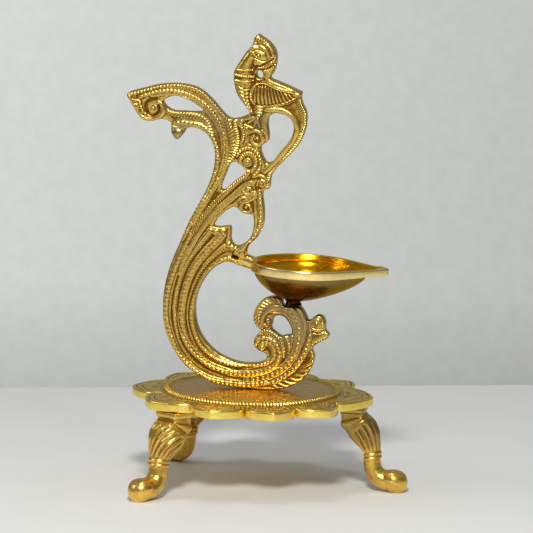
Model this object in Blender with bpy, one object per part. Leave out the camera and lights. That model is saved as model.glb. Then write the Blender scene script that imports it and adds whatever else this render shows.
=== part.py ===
"""Brass standing oil lamp: a pierced peacock frame on a three-legged petal plate, with a spouted oil bowl.

Lengths below are millimetres. X runs along the frame towards the spout, +Y is the back, +Z is up.
Everything is laid out round the upright axis of the petal plate, then moved by AXIS_X so that the
middle of the whole lamp stands over the origin.
"""

import math

import bmesh
import bpy
import numpy as np
from mathutils import Vector
from mathutils.geometry import tessellate_polygon

MM = 0.001
AXIS_X = -7.4  # the plate's axis, seen from the middle of the whole lamp
GAP = 0.3  # between pieces that touch

# Petal plate
PLATE_TOP = 54.6
PLATE_THICK = 6.4
PLATE_TIP_R = 68.0
PLATE_NOTCH_R = 56.0
PLATE_NOTCHES = (27, 57, 86, 118, 160, 204, 242, 273, 303, 333)  # degrees from the spout, front first
PLATE_CHAMFER = 1.0
PLATE_EDGE_DROP = 0.4  # how far the tips of the petals lie below the middle disc
PLATE_RING = (45.2, 46.4, 48.6, 49.6)  # radii of the raised ring between the disc and the petals
PLATE_RING_RISE = 1.2
PLATE_BOTTOM = PLATE_TOP - PLATE_THICK

# Legs
LEG_ANGLES = {"leg_right": 0.0, "leg_front_left": -130.0, "leg_rear_left": 130.0}
LEG_TAB_R = 43.0  # where the leg screw goes up through the tab
LEG_TAB_THICK = 3.0
SOLE_R = 82.5
SOLE_HALF = 3.4

# Screws
SCREW_R = 1.5
SCREW_HEAD_R = 3.0
SCREW_HEAD_THICK = 1.8
LEG_SCREW_DEPTH = 3.0  # into the plate
FRAME_SCREW_X = (-4.0, 14.0)
FRAME_SCREW_DEPTH = 5.0  # into the foot of the frame
WASHER_R = 4.6
WASHER_THICK = 0.8

# Frame
WEB_HALF = 2.2
FRAME_FOOT = PLATE_TOP + GAP

# Oil bowl
BOWL_X = 28.5
BOWL_R = 30.5
BOWL_LENGTH = 77.0  # from the back of the rim to the tip of the spout
BOWL_TOP = 127.9
BOWL_TILT = 1.8  # degrees, the spout end lower
BODY_PULL = 0.35  # how far the body under the lip follows the spout, 1 for all the way
BAND_HIGH = 4.6
BAND_THICK = 1.5
BRAZE_X = (-4.9, -2.3)  # the bead of brazing metal between the frame and the back of the rim
BOWL_DEEP = 22.0
BOWL_WALL = 2.0
NECK_X = 22.0
NECK_R = 4.1
NECK_Z = 102.9
STUD_R = 1.5


def rounded(points, per=3, closed=False):
    """A centripetal Catmull-Rom curve through the points."""
    points = np.array(points, float)
    n = len(points)
    if closed:
        ring = [points[i % n] for i in range(-1, n + 2)]
    else:
        ring = [2 * points[0] - points[1], *points, 2 * points[-1] - points[-2]]
    out = []
    for a, b, c, d in zip(ring, ring[1:], ring[2:], ring[3:]):
        t = np.cumsum([0.0] + [max(np.linalg.norm(q - p), 1e-6) ** 0.5 for p, q in ((a, b), (b, c), (c, d))])
        for s in np.linspace(t[1], t[2], per, endpoint=False):
            p = [(t[i + 1] - s) / (t[i + 1] - t[i]) * u + (s - t[i]) / (t[i + 1] - t[i]) * v
                 for i, (u, v) in enumerate(((a, b), (b, c), (c, d)))]
            q = [(t[i + 2] - s) / (t[i + 2] - t[i]) * p[i] + (s - t[i]) / (t[i + 2] - t[i]) * p[i + 1]
                 for i in range(2)]
            out.append((t[2] - s) / (t[2] - t[1]) * q[0] + (s - t[1]) / (t[2] - t[1]) * q[1])
    if not closed:
        out.append(points[-1])
    return np.array(out)


def brass(name, colour, roughness):
    material = bpy.data.materials.new(name)
    material.use_nodes = True
    shader = material.node_tree.nodes["Principled BSDF"]
    shader.inputs["Base Color"].default_value = (*colour, 1.0)
    shader.inputs["Metallic"].default_value = 1.0
    shader.inputs["Roughness"].default_value = roughness
    material.diffuse_color = (*colour, 1.0)
    return material


def solid(name, vertices, faces, material=None, smooth=True):
    mesh = bpy.data.meshes.new(name)
    placed = [((x + AXIS_X) * MM, y * MM, z * MM) for x, y, z in vertices]
    mesh.from_pydata(placed, [], [list(f) for f in faces])
    mesh.validate()
    if smooth:
        mesh.polygons.foreach_set("use_smooth", [True] * len(mesh.polygons))
    if material:
        mesh.materials.append(material)
    item = bpy.data.objects.new(name, mesh)
    bpy.context.scene.collection.objects.link(item)
    return item


def loft(name, rings, material=None, smooth=True):
    """Closed sections joined one after the other, both ends capped. Each ring runs the same way round."""
    count = len(rings[0])
    vertices = [tuple(p) for ring in rings for p in ring]
    faces = []
    for i in range(len(rings) - 1):
        for j in range(count):
            k = (j + 1) % count
            faces.append((i * count + j, i * count + k, (i + 1) * count + k, (i + 1) * count + j))
    last = (len(rings) - 1) * count
    faces.append(tuple(reversed(range(count))))
    faces.append(tuple(range(last, last + count)))
    item = solid(name, vertices, faces, material, smooth)
    outward(item)
    return item


def outward(item):
    """Turn the whole surface outward when it came out inside out."""
    mesh = item.data
    mesh.calc_loop_triangles()
    volume = 0.0
    for t in mesh.loop_triangles:
        a, b, c = (mesh.vertices[v].co for v in t.vertices)
        volume += a.dot(b.cross(c))
    if volume < 0:
        mesh.flip_normals()


def boolean(item, others, operation):
    for other in others:
        change = item.modifiers.new("cut", "BOOLEAN")
        change.operation = operation
        change.solver = "EXACT"
        change.object = other
        graph = bpy.context.evaluated_depsgraph_get()
        graph.update()
        mesh = bpy.data.meshes.new_from_object(item.evaluated_get(graph))
        item.modifiers.clear()
        item.data = mesh
        bpy.data.objects.remove(other)
    return item


def cylinder(name, x, y, low, high, radius, material=None, sides=20):
    turn = [2 * math.pi * k / sides for k in range(sides)]
    rings = [[(x + radius * math.cos(a), y + radius * math.sin(a), z) for a in turn] for z in (low, high)]
    return loft(name, rings, material)


def block(name, low, high, material=None):
    rings = [[(low[0], low[1], z), (high[0], low[1], z), (high[0], high[1], z), (low[0], high[1], z)]
             for z in (low[2], high[2])]
    return loft(name, rings, material, smooth=False)


def stepped(name, x, y, profile, material=None, sides=24):
    """A turned piece: profile is (radius, height) from the bottom up, on an upright axis at x, y."""
    turn = [2 * math.pi * k / sides for k in range(sides)]
    rings = [[(x + r * math.cos(a), y + r * math.sin(a), z) for a in turn] for r, z in profile]
    return loft(name, rings, material)


def sheet(name, outline, holes, half):
    """A flat piece in the plane of the frame, from -half to +half in Y."""
    loops = [outline, *holes]
    flat = [[Vector((x, z, 0)) for x, z in loop] for loop in loops]
    triangles = tessellate_polygon(flat)
    points = [p for loop in loops for p in loop]
    total = len(points)
    vertices = [(x, -half, z) for x, z in points] + [(x, half, z) for x, z in points]
    faces = []
    for a, b, c in triangles:
        faces.append((a, b, c))
        faces.append((c + total, b + total, a + total))
    start = 0
    for loop in loops:
        n = len(loop)
        for j in range(n):
            a, b = start + j, start + (j + 1) % n
            faces.append((a, b, b + total, a + total))
        start += n
    item = solid(name, vertices, faces, smooth=False)
    tidy_normals(item)
    return item


def tidy_normals(item):
    """Make neighbouring faces agree, then point them all outward."""
    work = bmesh.new()
    work.from_mesh(item.data)
    bmesh.ops.recalc_face_normals(work, faces=work.faces)
    work.to_mesh(item.data)
    work.free()
    outward(item)


def strand(name, path, widths, thick, per=2, sides=6, power=0.8):
    """A rib of the frame: a flattened rod along a curve in the XZ plane with rounded ends."""
    line = rounded(path, per)
    steps = np.r_[0.0, np.cumsum(np.linalg.norm(np.diff(line, axis=0), axis=1))]
    knots = np.linspace(0, steps[-1], len(widths))
    half = np.interp(steps, knots, widths)
    direction = np.gradient(line, axis=0)
    direction /= np.linalg.norm(direction, axis=1)[:, None]
    side = np.c_[-direction[:, 1], direction[:, 0]]
    ends = np.minimum(steps, steps[-1] - steps)
    rings = []
    for i, (point, across, w, near) in enumerate(zip(line, side, half, ends)):
        fade = 0.45 if near < 0.3 * w else 1.0
        ring = []
        for k in range(sides):
            a = 2 * math.pi * (k + 0.5) / sides
            c, s = math.cos(a), math.sin(a)
            u = math.copysign(abs(c) ** power, c) * w * fade
            v = math.copysign(abs(s) ** power, s) * thick * fade
            ring.append((point[0] + across[0] * u, v, point[1] + across[1] * u))
        rings.append(ring)
    return loft(name, rings)


def pebble(name, x, z, rx, ry, rz, rows=4, sides=10):
    """A rounded lump centred in the plane of the frame."""
    rings = []
    for i in range(rows + 1):
        b = math.pi * (0.08 + 0.84 * i / rows)
        rings.append([(x + rx * math.sin(b) * math.cos(2 * math.pi * k / sides),
                       ry * math.sin(b) * math.sin(2 * math.pi * k / sides),
                       z - rz * math.cos(b)) for k in range(sides)])
    return loft(name, rings)


# ---------------------------------------------------------------- petal plate

def petal_outline(inset=0.0):
    """One cusped petal between each pair of notches; the petals meet in narrow notches."""
    points = []
    edges = [*PLATE_NOTCHES, PLATE_NOTCHES[0] + 360]
    steps = 12
    for start, end in zip(edges, edges[1:]):
        for k in range(steps):
            t = 2 * k / steps - 1  # -1 at one notch, 0 at the tip, +1 at the next
            rise = (1 - abs(t) ** 2) ** 0.8
            cusp = 1.4 * max(0.0, 1 - abs(t) / 0.3) ** 1.5
            r = PLATE_NOTCH_R + (PLATE_TIP_R - 1.4 - PLATE_NOTCH_R) * rise + cusp - inset
            a = -math.radians(start + (end - start) * k / steps)
            points.append((r * math.cos(a), r * math.sin(a)))
    return points


def petal_plate(material):
    full, inner = petal_outline(), petal_outline(PLATE_CHAMFER)
    edge = PLATE_TOP - PLATE_EDGE_DROP
    rings = [[(x, y, PLATE_BOTTOM) for x, y in inner],
             [(x, y, PLATE_BOTTOM + PLATE_CHAMFER) for x, y in full],
             [(x, y, edge - PLATE_CHAMFER) for x, y in full],
             [(x, y, edge) for x, y in inner]]
    ring_top = PLATE_TOP + PLATE_RING_RISE
    for r, z in zip(reversed(PLATE_RING), (ring_top - 0.4, ring_top, ring_top, PLATE_TOP)):
        rings.append([(x * r / math.hypot(x, y), y * r / math.hypot(x, y), z) for x, y in full])
    plate = loft("base_plate", rings, material, smooth=False)
    cuts = []
    for angle in LEG_ANGLES.values():
        a = math.radians(angle)
        x, y = LEG_TAB_R * math.cos(a), LEG_TAB_R * math.sin(a)
        cuts.append(cylinder("hole", x, y, PLATE_BOTTOM - 1, PLATE_BOTTOM + LEG_SCREW_DEPTH + GAP, SCREW_R + GAP))
    for x in FRAME_SCREW_X:
        cuts.append(cylinder("hole", x, 0, PLATE_BOTTOM - 1, PLATE_TOP + 1, SCREW_R + GAP))
    return boolean(plate, cuts, "DIFFERENCE")


# ---------------------------------------------------------------- legs

# Down the leg: middle of the section (radius, height), half depth, half width, squareness, channel depth
LEG_STATIONS = (
    (57.2, 47.9, 7.6, 9.0, 6, 0.0),
    (57.2, 45.4, 7.6, 9.0, 6, 0.0),
    (57.4, 44.6, 6.7, 8.0, 6, 0.2),
    (57.6, 41.3, 6.7, 8.0, 6, 0.35),
    (58.0, 40.1, 7.8, 9.0, 5, 0.35),
    (58.8, 38.6, 7.8, 8.9, 4, 0.4),
    (60.4, 37.3, 8.0, 8.2, 3, 0.4),
    (62.6, 34.0, 8.8, 8.2, 2.6, 0.42),
    (65.0, 30.0, 8.0, 7.6, 2.4, 0.42),
    (66.8, 25.4, 6.6, 6.4, 2.2, 0.4),
    (67.6, 22.8, 5.9, 6.0, 2, 0.3),
    (68.0, 21.6, 5.3, 5.6, 2, 0.2),
    (68.3, 16.4, 5.0, 5.2, 2, 0.0),
    (69.2, 11.8, 5.1, 5.3, 2, 0.0),
    (71.4, 8.4, 5.3, 5.6, 2, 0.0),
    (75.0, 6.4, 5.4, 6.0, 2, 0.0),
    (79.0, 6.2, 5.6, 6.4, 2, 0.0),
)


def leg(name, angle, material):
    count = 20
    turned = math.radians(angle)
    out, side = (math.cos(turned), math.sin(turned)), (-math.sin(turned), math.cos(turned))

    def place(r, t, z):
        return (out[0] * r + side[0] * t, out[1] * r + side[1] * t, z)

    centres = np.array([(s[0], s[1]) for s in LEG_STATIONS])
    along = np.gradient(centres, axis=0)
    along /= np.linalg.norm(along, axis=1)[:, None]
    along[0] = along[1] = along[2] = (0, -1)
    rings = []
    for (r, z, depth, width, square, hollow), (dr, dz) in zip(LEG_STATIONS, along):
        across = (-dz, dr)  # points out from the lamp, square to the leg
        ring = []
        for k in range(count):
            a = 2 * math.pi * (k + 0.5) / count
            c, s = math.cos(a), math.sin(a)
            size = (abs(c) ** square + abs(s) ** square) ** (-1 / square)
            u, v = depth * c * size, width * s * size
            if c < 0 and abs(v) < 0.72 * width:
                u += hollow * 2 * depth * (1 - (v / (0.72 * width)) ** 4)
            ring.append(place(r + across[0] * u, v, z + across[1] * u))
        rings.append(ring)
    # the pad of the foot, from its heel down to the flat sole
    item = loft(name, rings, material)
    pad = []
    for r, z, half in ((80.2, 12.4, 2.2), (80.0, 11.9, 5.0), (80.3, 9.6, 7.2), (80.8, 6.2, 7.8),
                       (81.4, 2.8, 6.9), (82.0, 0.9, 5.2), (SOLE_R, 0.0, SOLE_HALF)):
        pad.append([place(r + half * math.cos(a), half * 0.94 * math.sin(a), z)
                    for a in (2 * math.pi * k / 16 for k in range(16))])
    item = boolean(item, [loft("pad", pad)], "UNION")
    tab_top = PLATE_BOTTOM - GAP
    tab = []
    for z in (tab_top - LEG_TAB_THICK, tab_top):
        tab.append([place(r, t, z) for r, t in ((55, -6), (55, 6), (41, 5), (38.5, 3), (38.5, -3), (41, -5))])
    item = boolean(item, [loft("tab", tab, smooth=False)], "UNION")
    x, y, _ = place(LEG_TAB_R, 0, 0)
    hole = cylinder("hole", x, y, tab_top - 6, tab_top + 2, SCREW_R + GAP)
    return boolean(item, [hole], "DIFFERENCE")


def screw(name, x, y, head_top, tip, material):
    profile = ((SCREW_HEAD_R - 0.8, head_top - SCREW_HEAD_THICK), (SCREW_HEAD_R, head_top - 1.1),
               (SCREW_HEAD_R, head_top), (SCREW_R, head_top), (SCREW_R, tip - 0.6), (SCREW_R - 0.6, tip))
    item = stepped(name, x, y, profile, material, 20)
    slot = block("slot", (x - 5, y - 0.4, head_top - SCREW_HEAD_THICK - 1),
                 (x + 5, y + 0.4, head_top - SCREW_HEAD_THICK + 0.7))
    return boolean(item, [slot], "DIFFERENCE")


# ---------------------------------------------------------------- peacock frame

SILHOUETTE = (
    (-73.5, 217.5), (-65.5, 220.6), (-55, 223.4), (-45, 224.2), (-34, 222.2), (-26, 216.6), (-20.5, 210.6),
    (-16.5, 207), (-12.5, 206.4), (-7, 208.5), (-8.6, 215.5), (-11.6, 219.8), (-13.3, 225.5), (-13.5, 229.4),
    (-13.4, 233.3), (-11.8, 236.4), (-9, 240.8), (-6.5, 244.8), (-4, 248), (-2.9, 251.5), (-0.6, 254),
    (2.9, 252.4), (6.6, 248.6), (9.2, 243.4), (9.6, 239.4), (9.2, 235.4), (7.4, 229.8), (15, 226.4),
    (24, 222.8), (23.8, 219), (26.6, 212), (27.2, 205.8), (25.8, 199.4), (22.6, 192.9), (17.4, 186.6),
    (11.4, 180), (8.2, 175), (7.2, 168), (3.9, 166.4), (4.6, 156), (4.2, 147.8), (1, 140.4), (-3.6, 135.4),
    (-4.6, 131.4), (-4.6, 123), (-9, 124.2), (-14, 126), (-17.2, 125.6), (-22.4, 122.6), (-28.6, 115),
    (-32.4, 105.6), (-33, 96.2), (-31, 87), (-25.6, 78.8), (-18, 73), (-9.6, 69.8), (-2.3, 69), (5, 70),
    (8, 72.4), (7.6, 75), (2.8, 77.4), (0.8, 80.4), (1.6, 84.4), (5, 88.2), (2.4, 90), (0.4, 93.8),
    (1, 98.8), (4.4, 104.4), (10, 106.4), (17.6, 103.6), (26.2, 102), (31.1, 94.8), (33, 96.2), (36.3, 98),
    (39.4, 96), (39.8, 91.4), (42.4, 87.6), (42, 85.6), (36, 82), (33, 79.2), (34, 76), (34.2, 72.4),
    (31.8, 66.4), (27.6, 61.2), (19.6, 57.6), (11.4, 55.4), (-1, 55), (-12.4, 56.2), (-21.6, 58),
    (-29.8, 61.6), (-38, 67.4), (-44.8, 76.2), (-49.2, 86.2), (-50.7, 98.6), (-49.7, 111), (-46.5, 123.6),
    (-41.6, 136.2), (-36.6, 148), (-30.6, 159.6), (-26.8, 167.8), (-23.8, 176.6), (-22.9, 184.5),
    (-23.9, 191), (-28, 197.4), (-34.3, 200.6), (-39.5, 200.2), (-41.4, 196.8), (-45.1, 193.8),
    (-48, 198.3), (-48.9, 203.2), (-54, 204.8), (-60.2, 203.4), (-64.7, 204.2), (-67.8, 207.8), (-70.6, 212.4),
)
OPENINGS = (
    ((-53.2, 214.4), (-47.2, 217.6), (-40.1, 216), (-33.8, 212.8), (-30.6, 209.9), (-41.5, 209.5), (-48.6, 209.9)),
    ((-14.3, 181.4), (-11.5, 182), (-6, 177.1), (-12.5, 171.2), (-18.2, 166.3), (-19.4, 167.2), (-17, 175.4)),
    ((-12.6, 157), (-23, 146.3), (-15.4, 146), (-13.4, 145), (-12.8, 138.9), (-10, 135.4), (-5.2, 136.8),
     (-2.2, 141.3), (-1.2, 147.6), (-2, 152.3), (-7.3, 153.6)),
    ((12.8, 96.4), (16.4, 96.7), (19, 94.3), (21, 90), (20.6, 86.6), (17.3, 86.1), (12.6, 88.9), (10.8, 90),
     (11.9, 93.1)),
    ((8.6, 210), (5.9, 206.8), (6.6, 195.3), (2.4, 191.2), (5.2, 183), (8.1, 182.9), (12.8, 189), (18.7, 196.9),
     (20.1, 203.1), (18.5, 207.3), (14.1, 209.8)),
    ((0.6, 234.2), (2.2, 232.1), (0.7, 229.9), (-1, 231.9)),
)
# The ribs: points along the middle, half widths along it, half thickness
RIBS = {
    "outer_rope": (((-46, 202.6), (-38.2, 203.4), (-30.9, 201.6), (-26.1, 197), (-22.6, 190), (-21.4, 182.7),
                    (-22.6, 174.8), (-26.3, 166.3), (-30.6, 157.1), (-35.6, 147.4), (-39.8, 137.1), (-44.2, 125.4),
                    (-47.2, 112.1), (-48.4, 99.1), (-46.8, 86.9), (-42.6, 77), (-35.8, 69.2), (-28, 63.8),
                    (-20.2, 60.2), (-11.4, 58.2), (0, 57.2), (10.9, 57.8), (19.8, 60.8)),
                   (1.4, 2.2, 2.3, 2.2, 2.2, 2.4, 2.6, 2.6, 2.5, 2.4, 2.2), 3.5),
    "bead_strand": (((-67, 217.6), (-56.4, 220.6), (-48.6, 221.4), (-38.5, 219.2), (-30, 214), (-24.3, 207.6),
                     (-20, 201.3), (-17.8, 193), (-17.5, 186.3), (-19.3, 177.2), (-23.7, 167), (-28.6, 157.8),
                     (-33.6, 147)), (1.5, 2.6, 2.8, 2.8, 2.6, 2.4, 2.0), 3.3),
    "plume_top_rib": (((-53, 209.6), (-46.1, 207.2), (-38.2, 207.4), (-31.5, 206.6), (-27, 202.8), (-23.4, 198)),
                      (1.6, 1.8, 1.8, 1.4), 2.9),
    "branch_upper": (((-3, 176.6), (-8.4, 171.6), (-15, 166), (-21.5, 159.8), (-27.5, 152.2), (-32.9, 143),
                      (-37.6, 132.6), (-41.6, 119)), (1.6, 1.9, 1.9, 1.6, 1.0), 3.2),
    "branch_lower": (((-0.6, 171), (-6, 165.3), (-11.5, 160.2), (-18.6, 154), (-25.2, 147.2), (-30.5, 138.6),
                      (-34.6, 128.3), (-37, 119)), (1.8, 2.0, 2.0, 1.8, 1.2), 3.2),
    "sweep_middle": (((-21, 142.4), (-28.1, 130.9), (-34.4, 119.4), (-38.4, 108), (-39.2, 97.9), (-37.3, 87.9),
                      (-32.4, 78.8), (-25.5, 71.8), (-17, 66.6), (-7.1, 63.5), (3, 63), (11.9, 65.8),
                      (18.4, 72.3), (22.9, 80.6), (24.9, 88.5), (24.2, 95.6), (20, 100.8), (13.2, 103),
                      (6.9, 101.4), (3.2, 96.5), (3.9, 91.9), (7.6, 90.2), (10.2, 93)),
                     (2.0, 2.4, 2.2, 2.0, 2.0, 2.0, 2.2, 2.4, 2.4, 2.2, 1.5), 3.6),
    "sweep_inner": (((-14.8, 128.4), (-23, 123.6), (-29.5, 116.6), (-34.4, 106.6), (-35, 97), (-33, 87),
                     (-27.4, 78.4), (-19.3, 71.8), (-9.6, 68), (-0.5, 67), (7.6, 69.6), (12.4, 75.6),
                     (12.6, 81.4), (8.4, 85.1), (3.6, 83), (3, 79.6), (6.2, 77.8), (8.4, 79.6)),
                    (2.0, 2.0, 1.9, 1.9, 1.9, 1.8, 1.6, 1.3), 3.6),
    "fan_rib": (((-16, 141), (-22.5, 135.4), (-28.6, 126), (-33.4, 114)), (3.0, 2.6, 1.6), 3.0),
    "flank_rib": (((23.6, 101.4), (28.2, 95.2), (30, 87.7), (28.6, 80.3), (24.5, 72.8), (18, 66)),
                  (2.0, 2.2, 2.0, 1.4), 3.3),
    "twisted_leaf": (((16, 59), (25.6, 64.2), (30.2, 69.6), (32, 76)), (1.6, 2.8, 1.2), 3.4),
    "tail_edge": (((15, 214.4), (22.6, 216), (25, 211.4), (25.4, 205.8), (24, 199.6), (20.8, 193.4), (15.4, 186.8),
                   (9.4, 180), (6, 174.4), (4, 168.5)), (1.4, 2.0, 2.1, 2.0, 1.8, 1.6), 2.7),
    "tail_rib": (((2, 212), (9.1, 211.9), (15.3, 210.9), (20, 206.9), (22, 202.1), (20.6, 195.5), (15.2, 187.6),
                  (8.4, 180.2), (3.6, 176)), (1.5, 1.9, 1.8, 1.6), 3.2),
    "stem_right": (((2.4, 168), (2.6, 157.6), (2.2, 149.2), (-0.8, 141.9), (-6, 134.8)), (2.0, 2.1, 2.0, 1.7), 2.9),
    "scroll_right": (((-3, 204), (2.4, 203), (4, 198), (1.5, 192.4), (-2.1, 191.6)), (1.9, 2.5, 1.9), 3.95),
    "beak": (((5, 242.5), (8.2, 239), (8.4, 235), (6.6, 230.4)), (2.2, 1.9, 1.3, 0.7), 2.0),
    "crest": (((0.4, 247.5), (-0.2, 251), (-0.8, 253.6)), (2.8, 2.0, 1.0), 2.2),
    "foot": (((-15, 58), (-4, 56.4), (13, 56.2), (23, 58.6)), (1.2, 2.6, 2.6, 1.2), 3.9),
    "volute_spiral": (((-66.4, 214.6), (-66, 209.4), (-62.4, 205.2), (-56.8, 205.4), (-53.6, 209.2),
                       (-54.4, 213.8), (-58.6, 215.6), (-61.6, 213), (-61, 209.8)), (1.4, 1.9, 1.7, 1.4), 3.6),
    "neck": (((-2.5, 242), (-7.2, 236), (-8.6, 229), (-6.6, 220.6), (-2, 213.5), (0.6, 207)),
             (5.4, 4.6, 5.2, 6.6, 5.4, 4.0), 5.2),
    "wing": (((-4, 220.6), (5, 221.6), (14, 220.8), (23.4, 221.2)), (4.6, 7.2, 5.0, 1.4), 4.8),
}
LUMPS = {  # x, z, half sizes in x, y and z
    "head": (1.6, 242.6, 7.2, 5.4, 6.8),
    "volute": (-58.4, 211, 2.6, 3.9, 2.6),
    "hanging_ball": (-45.1, 197.7, 3.7, 3.7, 3.8),
    "scroll_disc": (-5.6, 182.6, 4.6, 4.2, 4.6),
    "upper_scroll": (-1.2, 196.4, 5.6, 4.0, 5.4),
    "flower_high": (1.6, 172.4, 5.0, 4.0, 5.0),
    "flower_low": (-4.6, 158.6, 4.6, 3.8, 4.6),
    "collar_scroll": (0, 188, 4.6, 3.8, 4.4),
    "bud_high": (35.4, 94, 4.3, 3.2, 4.2),
    "bud_low": (37.6, 86.6, 4.6, 2.8, 3.4),
    "bird_feet": (0.4, 206.6, 5.4, 4.2, 4.6),
}


def peacock_frame(material):
    web = sheet("peacock_frame", rounded(SILHOUETTE, 2, closed=True).tolist(),
                [rounded(h, 2, closed=True).tolist() for h in OPENINGS], WEB_HALF)
    parts = [strand(name, path, widths, thick) for name, (path, widths, thick) in RIBS.items()]
    parts += [pebble(name, x, z, rx, ry, rz) for name, (x, z, rx, ry, rz) in LUMPS.items()]
    boolean(web, parts, "UNION")
    cuts = [block("floor", (-60, -20, 40), (60, 20, FRAME_FOOT))]
    for x in FRAME_SCREW_X:
        cuts.append(cylinder("hole", x, 0, FRAME_FOOT - 2, FRAME_FOOT + FRAME_SCREW_DEPTH + GAP, SCREW_R + GAP))
    # the seat of the bowl's neck, with the blind hole for its stud, and the end that meets the rear braze
    cuts.append(block("seat", (NECK_X - 5.8, -20, NECK_Z - GAP), (NECK_X + 7, 20, NECK_Z + 12)))
    cuts.append(cylinder("stud_hole", NECK_X, 0, NECK_Z - 5.3, NECK_Z + 2, STUD_R + GAP))
    cuts.append(block("rear_end", (BRAZE_X[0] - GAP, -20, 119), (BRAZE_X[0] + 6, 20, 131.6)))
    boolean(web, cuts, "DIFFERENCE")
    web.data.materials.clear()
    web.data.materials.append(material)
    return web


# ---------------------------------------------------------------- oil bowl



def bowl_outline(inset=0.0, pull=1.0, count=48, shift=0.0):
    """Teardrop plan: a circle drawn out to a narrow spout. pull 0 leaves a plain circle."""
    reach = BOWL_LENGTH - BOWL_R  # from the middle of the circle to the tip
    points = []
    for k in range(count):
        a = 2 * math.pi * k / count
        c, s = math.cos(a), math.sin(a)
        ahead = max(0.0, c)
        narrow = 1 - 0.6 * pull * ahead ** 5
        x = BOWL_R * c + pull * (reach - BOWL_R) * ahead ** 5
        y = BOWL_R * s * narrow
        size = (BOWL_R - inset) / BOWL_R
        points.append((BOWL_X + shift + x * size, y * size))
    return points


def tilted(ring):
    """Turn a ring of points about the back of the rim so that the spout end sits lower."""
    a = math.radians(BOWL_TILT)
    x0, z0 = BOWL_X - BOWL_R, BOWL_TOP
    return [(x0 + (x - x0) * math.cos(a) + (z - z0) * math.sin(a), y,
             z0 - (x - x0) * math.sin(a) + (z - z0) * math.cos(a)) for x, y, z in ring]


def oil_bowl(material):
    rings = []

    def level(drop, inset, pull, shift=0.0):
        rings.append(tilted([(x, y, BOWL_TOP - drop) for x, y in bowl_outline(inset, pull, shift=shift)]))

    def fallen(t):
        """How far the round body has fallen below its lip, where its radius is the share t of the lip's."""
        return (1 - t ** 1.5) ** 0.6

    def body(drop, deep, inset):
        """One level per share of the radius, from the middle of the body out to its lip."""
        for t in (0.12, 0.26, 0.42, 0.6, 0.76, 0.88, 0.95, 0.985, 1.0):
            yield drop + deep * fallen(t), inset + (BOWL_R - inset) * (1 - t), BODY_PULL * t ** 2, (1 - t) * lean

    lean = NECK_X + 1.0 - BOWL_X
    # outside, from under the bowl up to the lip
    for numbers in body(BAND_HIGH, BOWL_DEEP - BAND_HIGH, BAND_THICK):
        level(*numbers)
    level(BAND_HIGH, 0.3, 1.0)
    level(0.5, 0.0, 1.0)
    level(0.0, 0.5, 1.0)
    # over the lip, along the channel of the spout and down the inside
    level(0.0, BAND_THICK + 0.2, 0.84)
    level(2.8, BAND_THICK + 1.0, 0.72)
    for numbers in reversed(list(body(3.2, BOWL_DEEP - BOWL_WALL - 3.2, BAND_THICK + 1.2))):
        level(*numbers)
    bowl = loft("oil_bowl", rings, material)
    neck_low = NECK_Z
    profile = ((NECK_R + 0.5, neck_low), (NECK_R, neck_low + 1.3), (NECK_R + 0.2, neck_low + 2.3),
               (NECK_R + 1.3, neck_low + 3.5), (NECK_R + 0.9, neck_low + 3.9))
    neck = stepped("neck_of_bowl", NECK_X, 0, profile)
    bowl = boolean(bowl, [neck], "UNION")
    hole = cylinder("stud_hole", NECK_X, 0, neck_low - 2, neck_low + 3.3, STUD_R + GAP)
    return boolean(bowl, [hole], "DIFFERENCE")


def rear_braze(material):
    """A bead of brazing metal between the end of the frame and the back of the bowl's rim."""
    low, high = 121.8, 127.6
    rings = []
    for x, half, trim in ((BRAZE_X[0], 2.2, 0.9), (BRAZE_X[0] + 0.6, 3.0, 0.2), (BRAZE_X[1] - 0.4, 3.2, 0.0),
                          (BRAZE_X[1], 2.6, 0.4)):
        middle, tall = (low + high) / 2, (high - low) / 2 - trim
        rings.append([(x, half * math.cos(a), middle + tall * math.sin(a))
                      for a in (2 * math.pi * k / 16 for k in range(16))])
    return loft("rear_braze", rings, material)


def clear_scene():
    for item in list(bpy.data.objects):
        bpy.data.objects.remove(item)


def main():
    clear_scene()
    frame_brass = brass("cast_brass", (0.62, 0.44, 0.13), 0.38)
    plate_brass = brass("turned_brass", (0.60, 0.47, 0.20), 0.33)
    leg_brass = brass("leg_brass", (0.64, 0.44, 0.15), 0.40)
    bowl_brass = brass("polished_brass", (0.66, 0.43, 0.11), 0.24)
    braze = brass("brazing_metal", (0.82, 0.60, 0.14), 0.30)
    steel = brass("screw_brass", (0.55, 0.44, 0.22), 0.42)

    petal_plate(plate_brass)
    for name, angle in LEG_ANGLES.items():
        leg(name, angle, leg_brass)
        a = math.radians(angle)
        head_top = PLATE_BOTTOM - GAP - LEG_TAB_THICK - GAP
        screw(name.replace("leg", "leg_screw"), LEG_TAB_R * math.cos(a), LEG_TAB_R * math.sin(a),
              head_top, PLATE_BOTTOM + LEG_SCREW_DEPTH, steel)
    peacock_frame(frame_brass)
    for side, x in zip(("left", "right"), FRAME_SCREW_X):
        washer_top = PLATE_BOTTOM - GAP
        washer = cylinder(f"frame_washer_{side}", x, 0, washer_top - WASHER_THICK, washer_top, WASHER_R, steel, 28)
        boolean(washer, [cylinder("hole", x, 0, washer_top - 5, washer_top + 5, SCREW_R + GAP)], "DIFFERENCE")
        screw(f"frame_screw_{side}", x, 0, washer_top - WASHER_THICK - GAP, FRAME_FOOT + FRAME_SCREW_DEPTH, steel)
    oil_bowl(bowl_brass)
    cylinder("bowl_stud", NECK_X, 0, NECK_Z - 5.0, NECK_Z + 3.0, STUD_R, steel)
    rear_braze(braze)


main()
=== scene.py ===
"""High-detail brass standing oil lamp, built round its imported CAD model.

Lengths are millimetres, measured from the upright axis of the petal plate: X along the peacock frame
towards the spout, +Y the back, +Z up. `placed` turns them into metres. The tables of the frame give
(x, z) in its plane.
"""

import math

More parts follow.
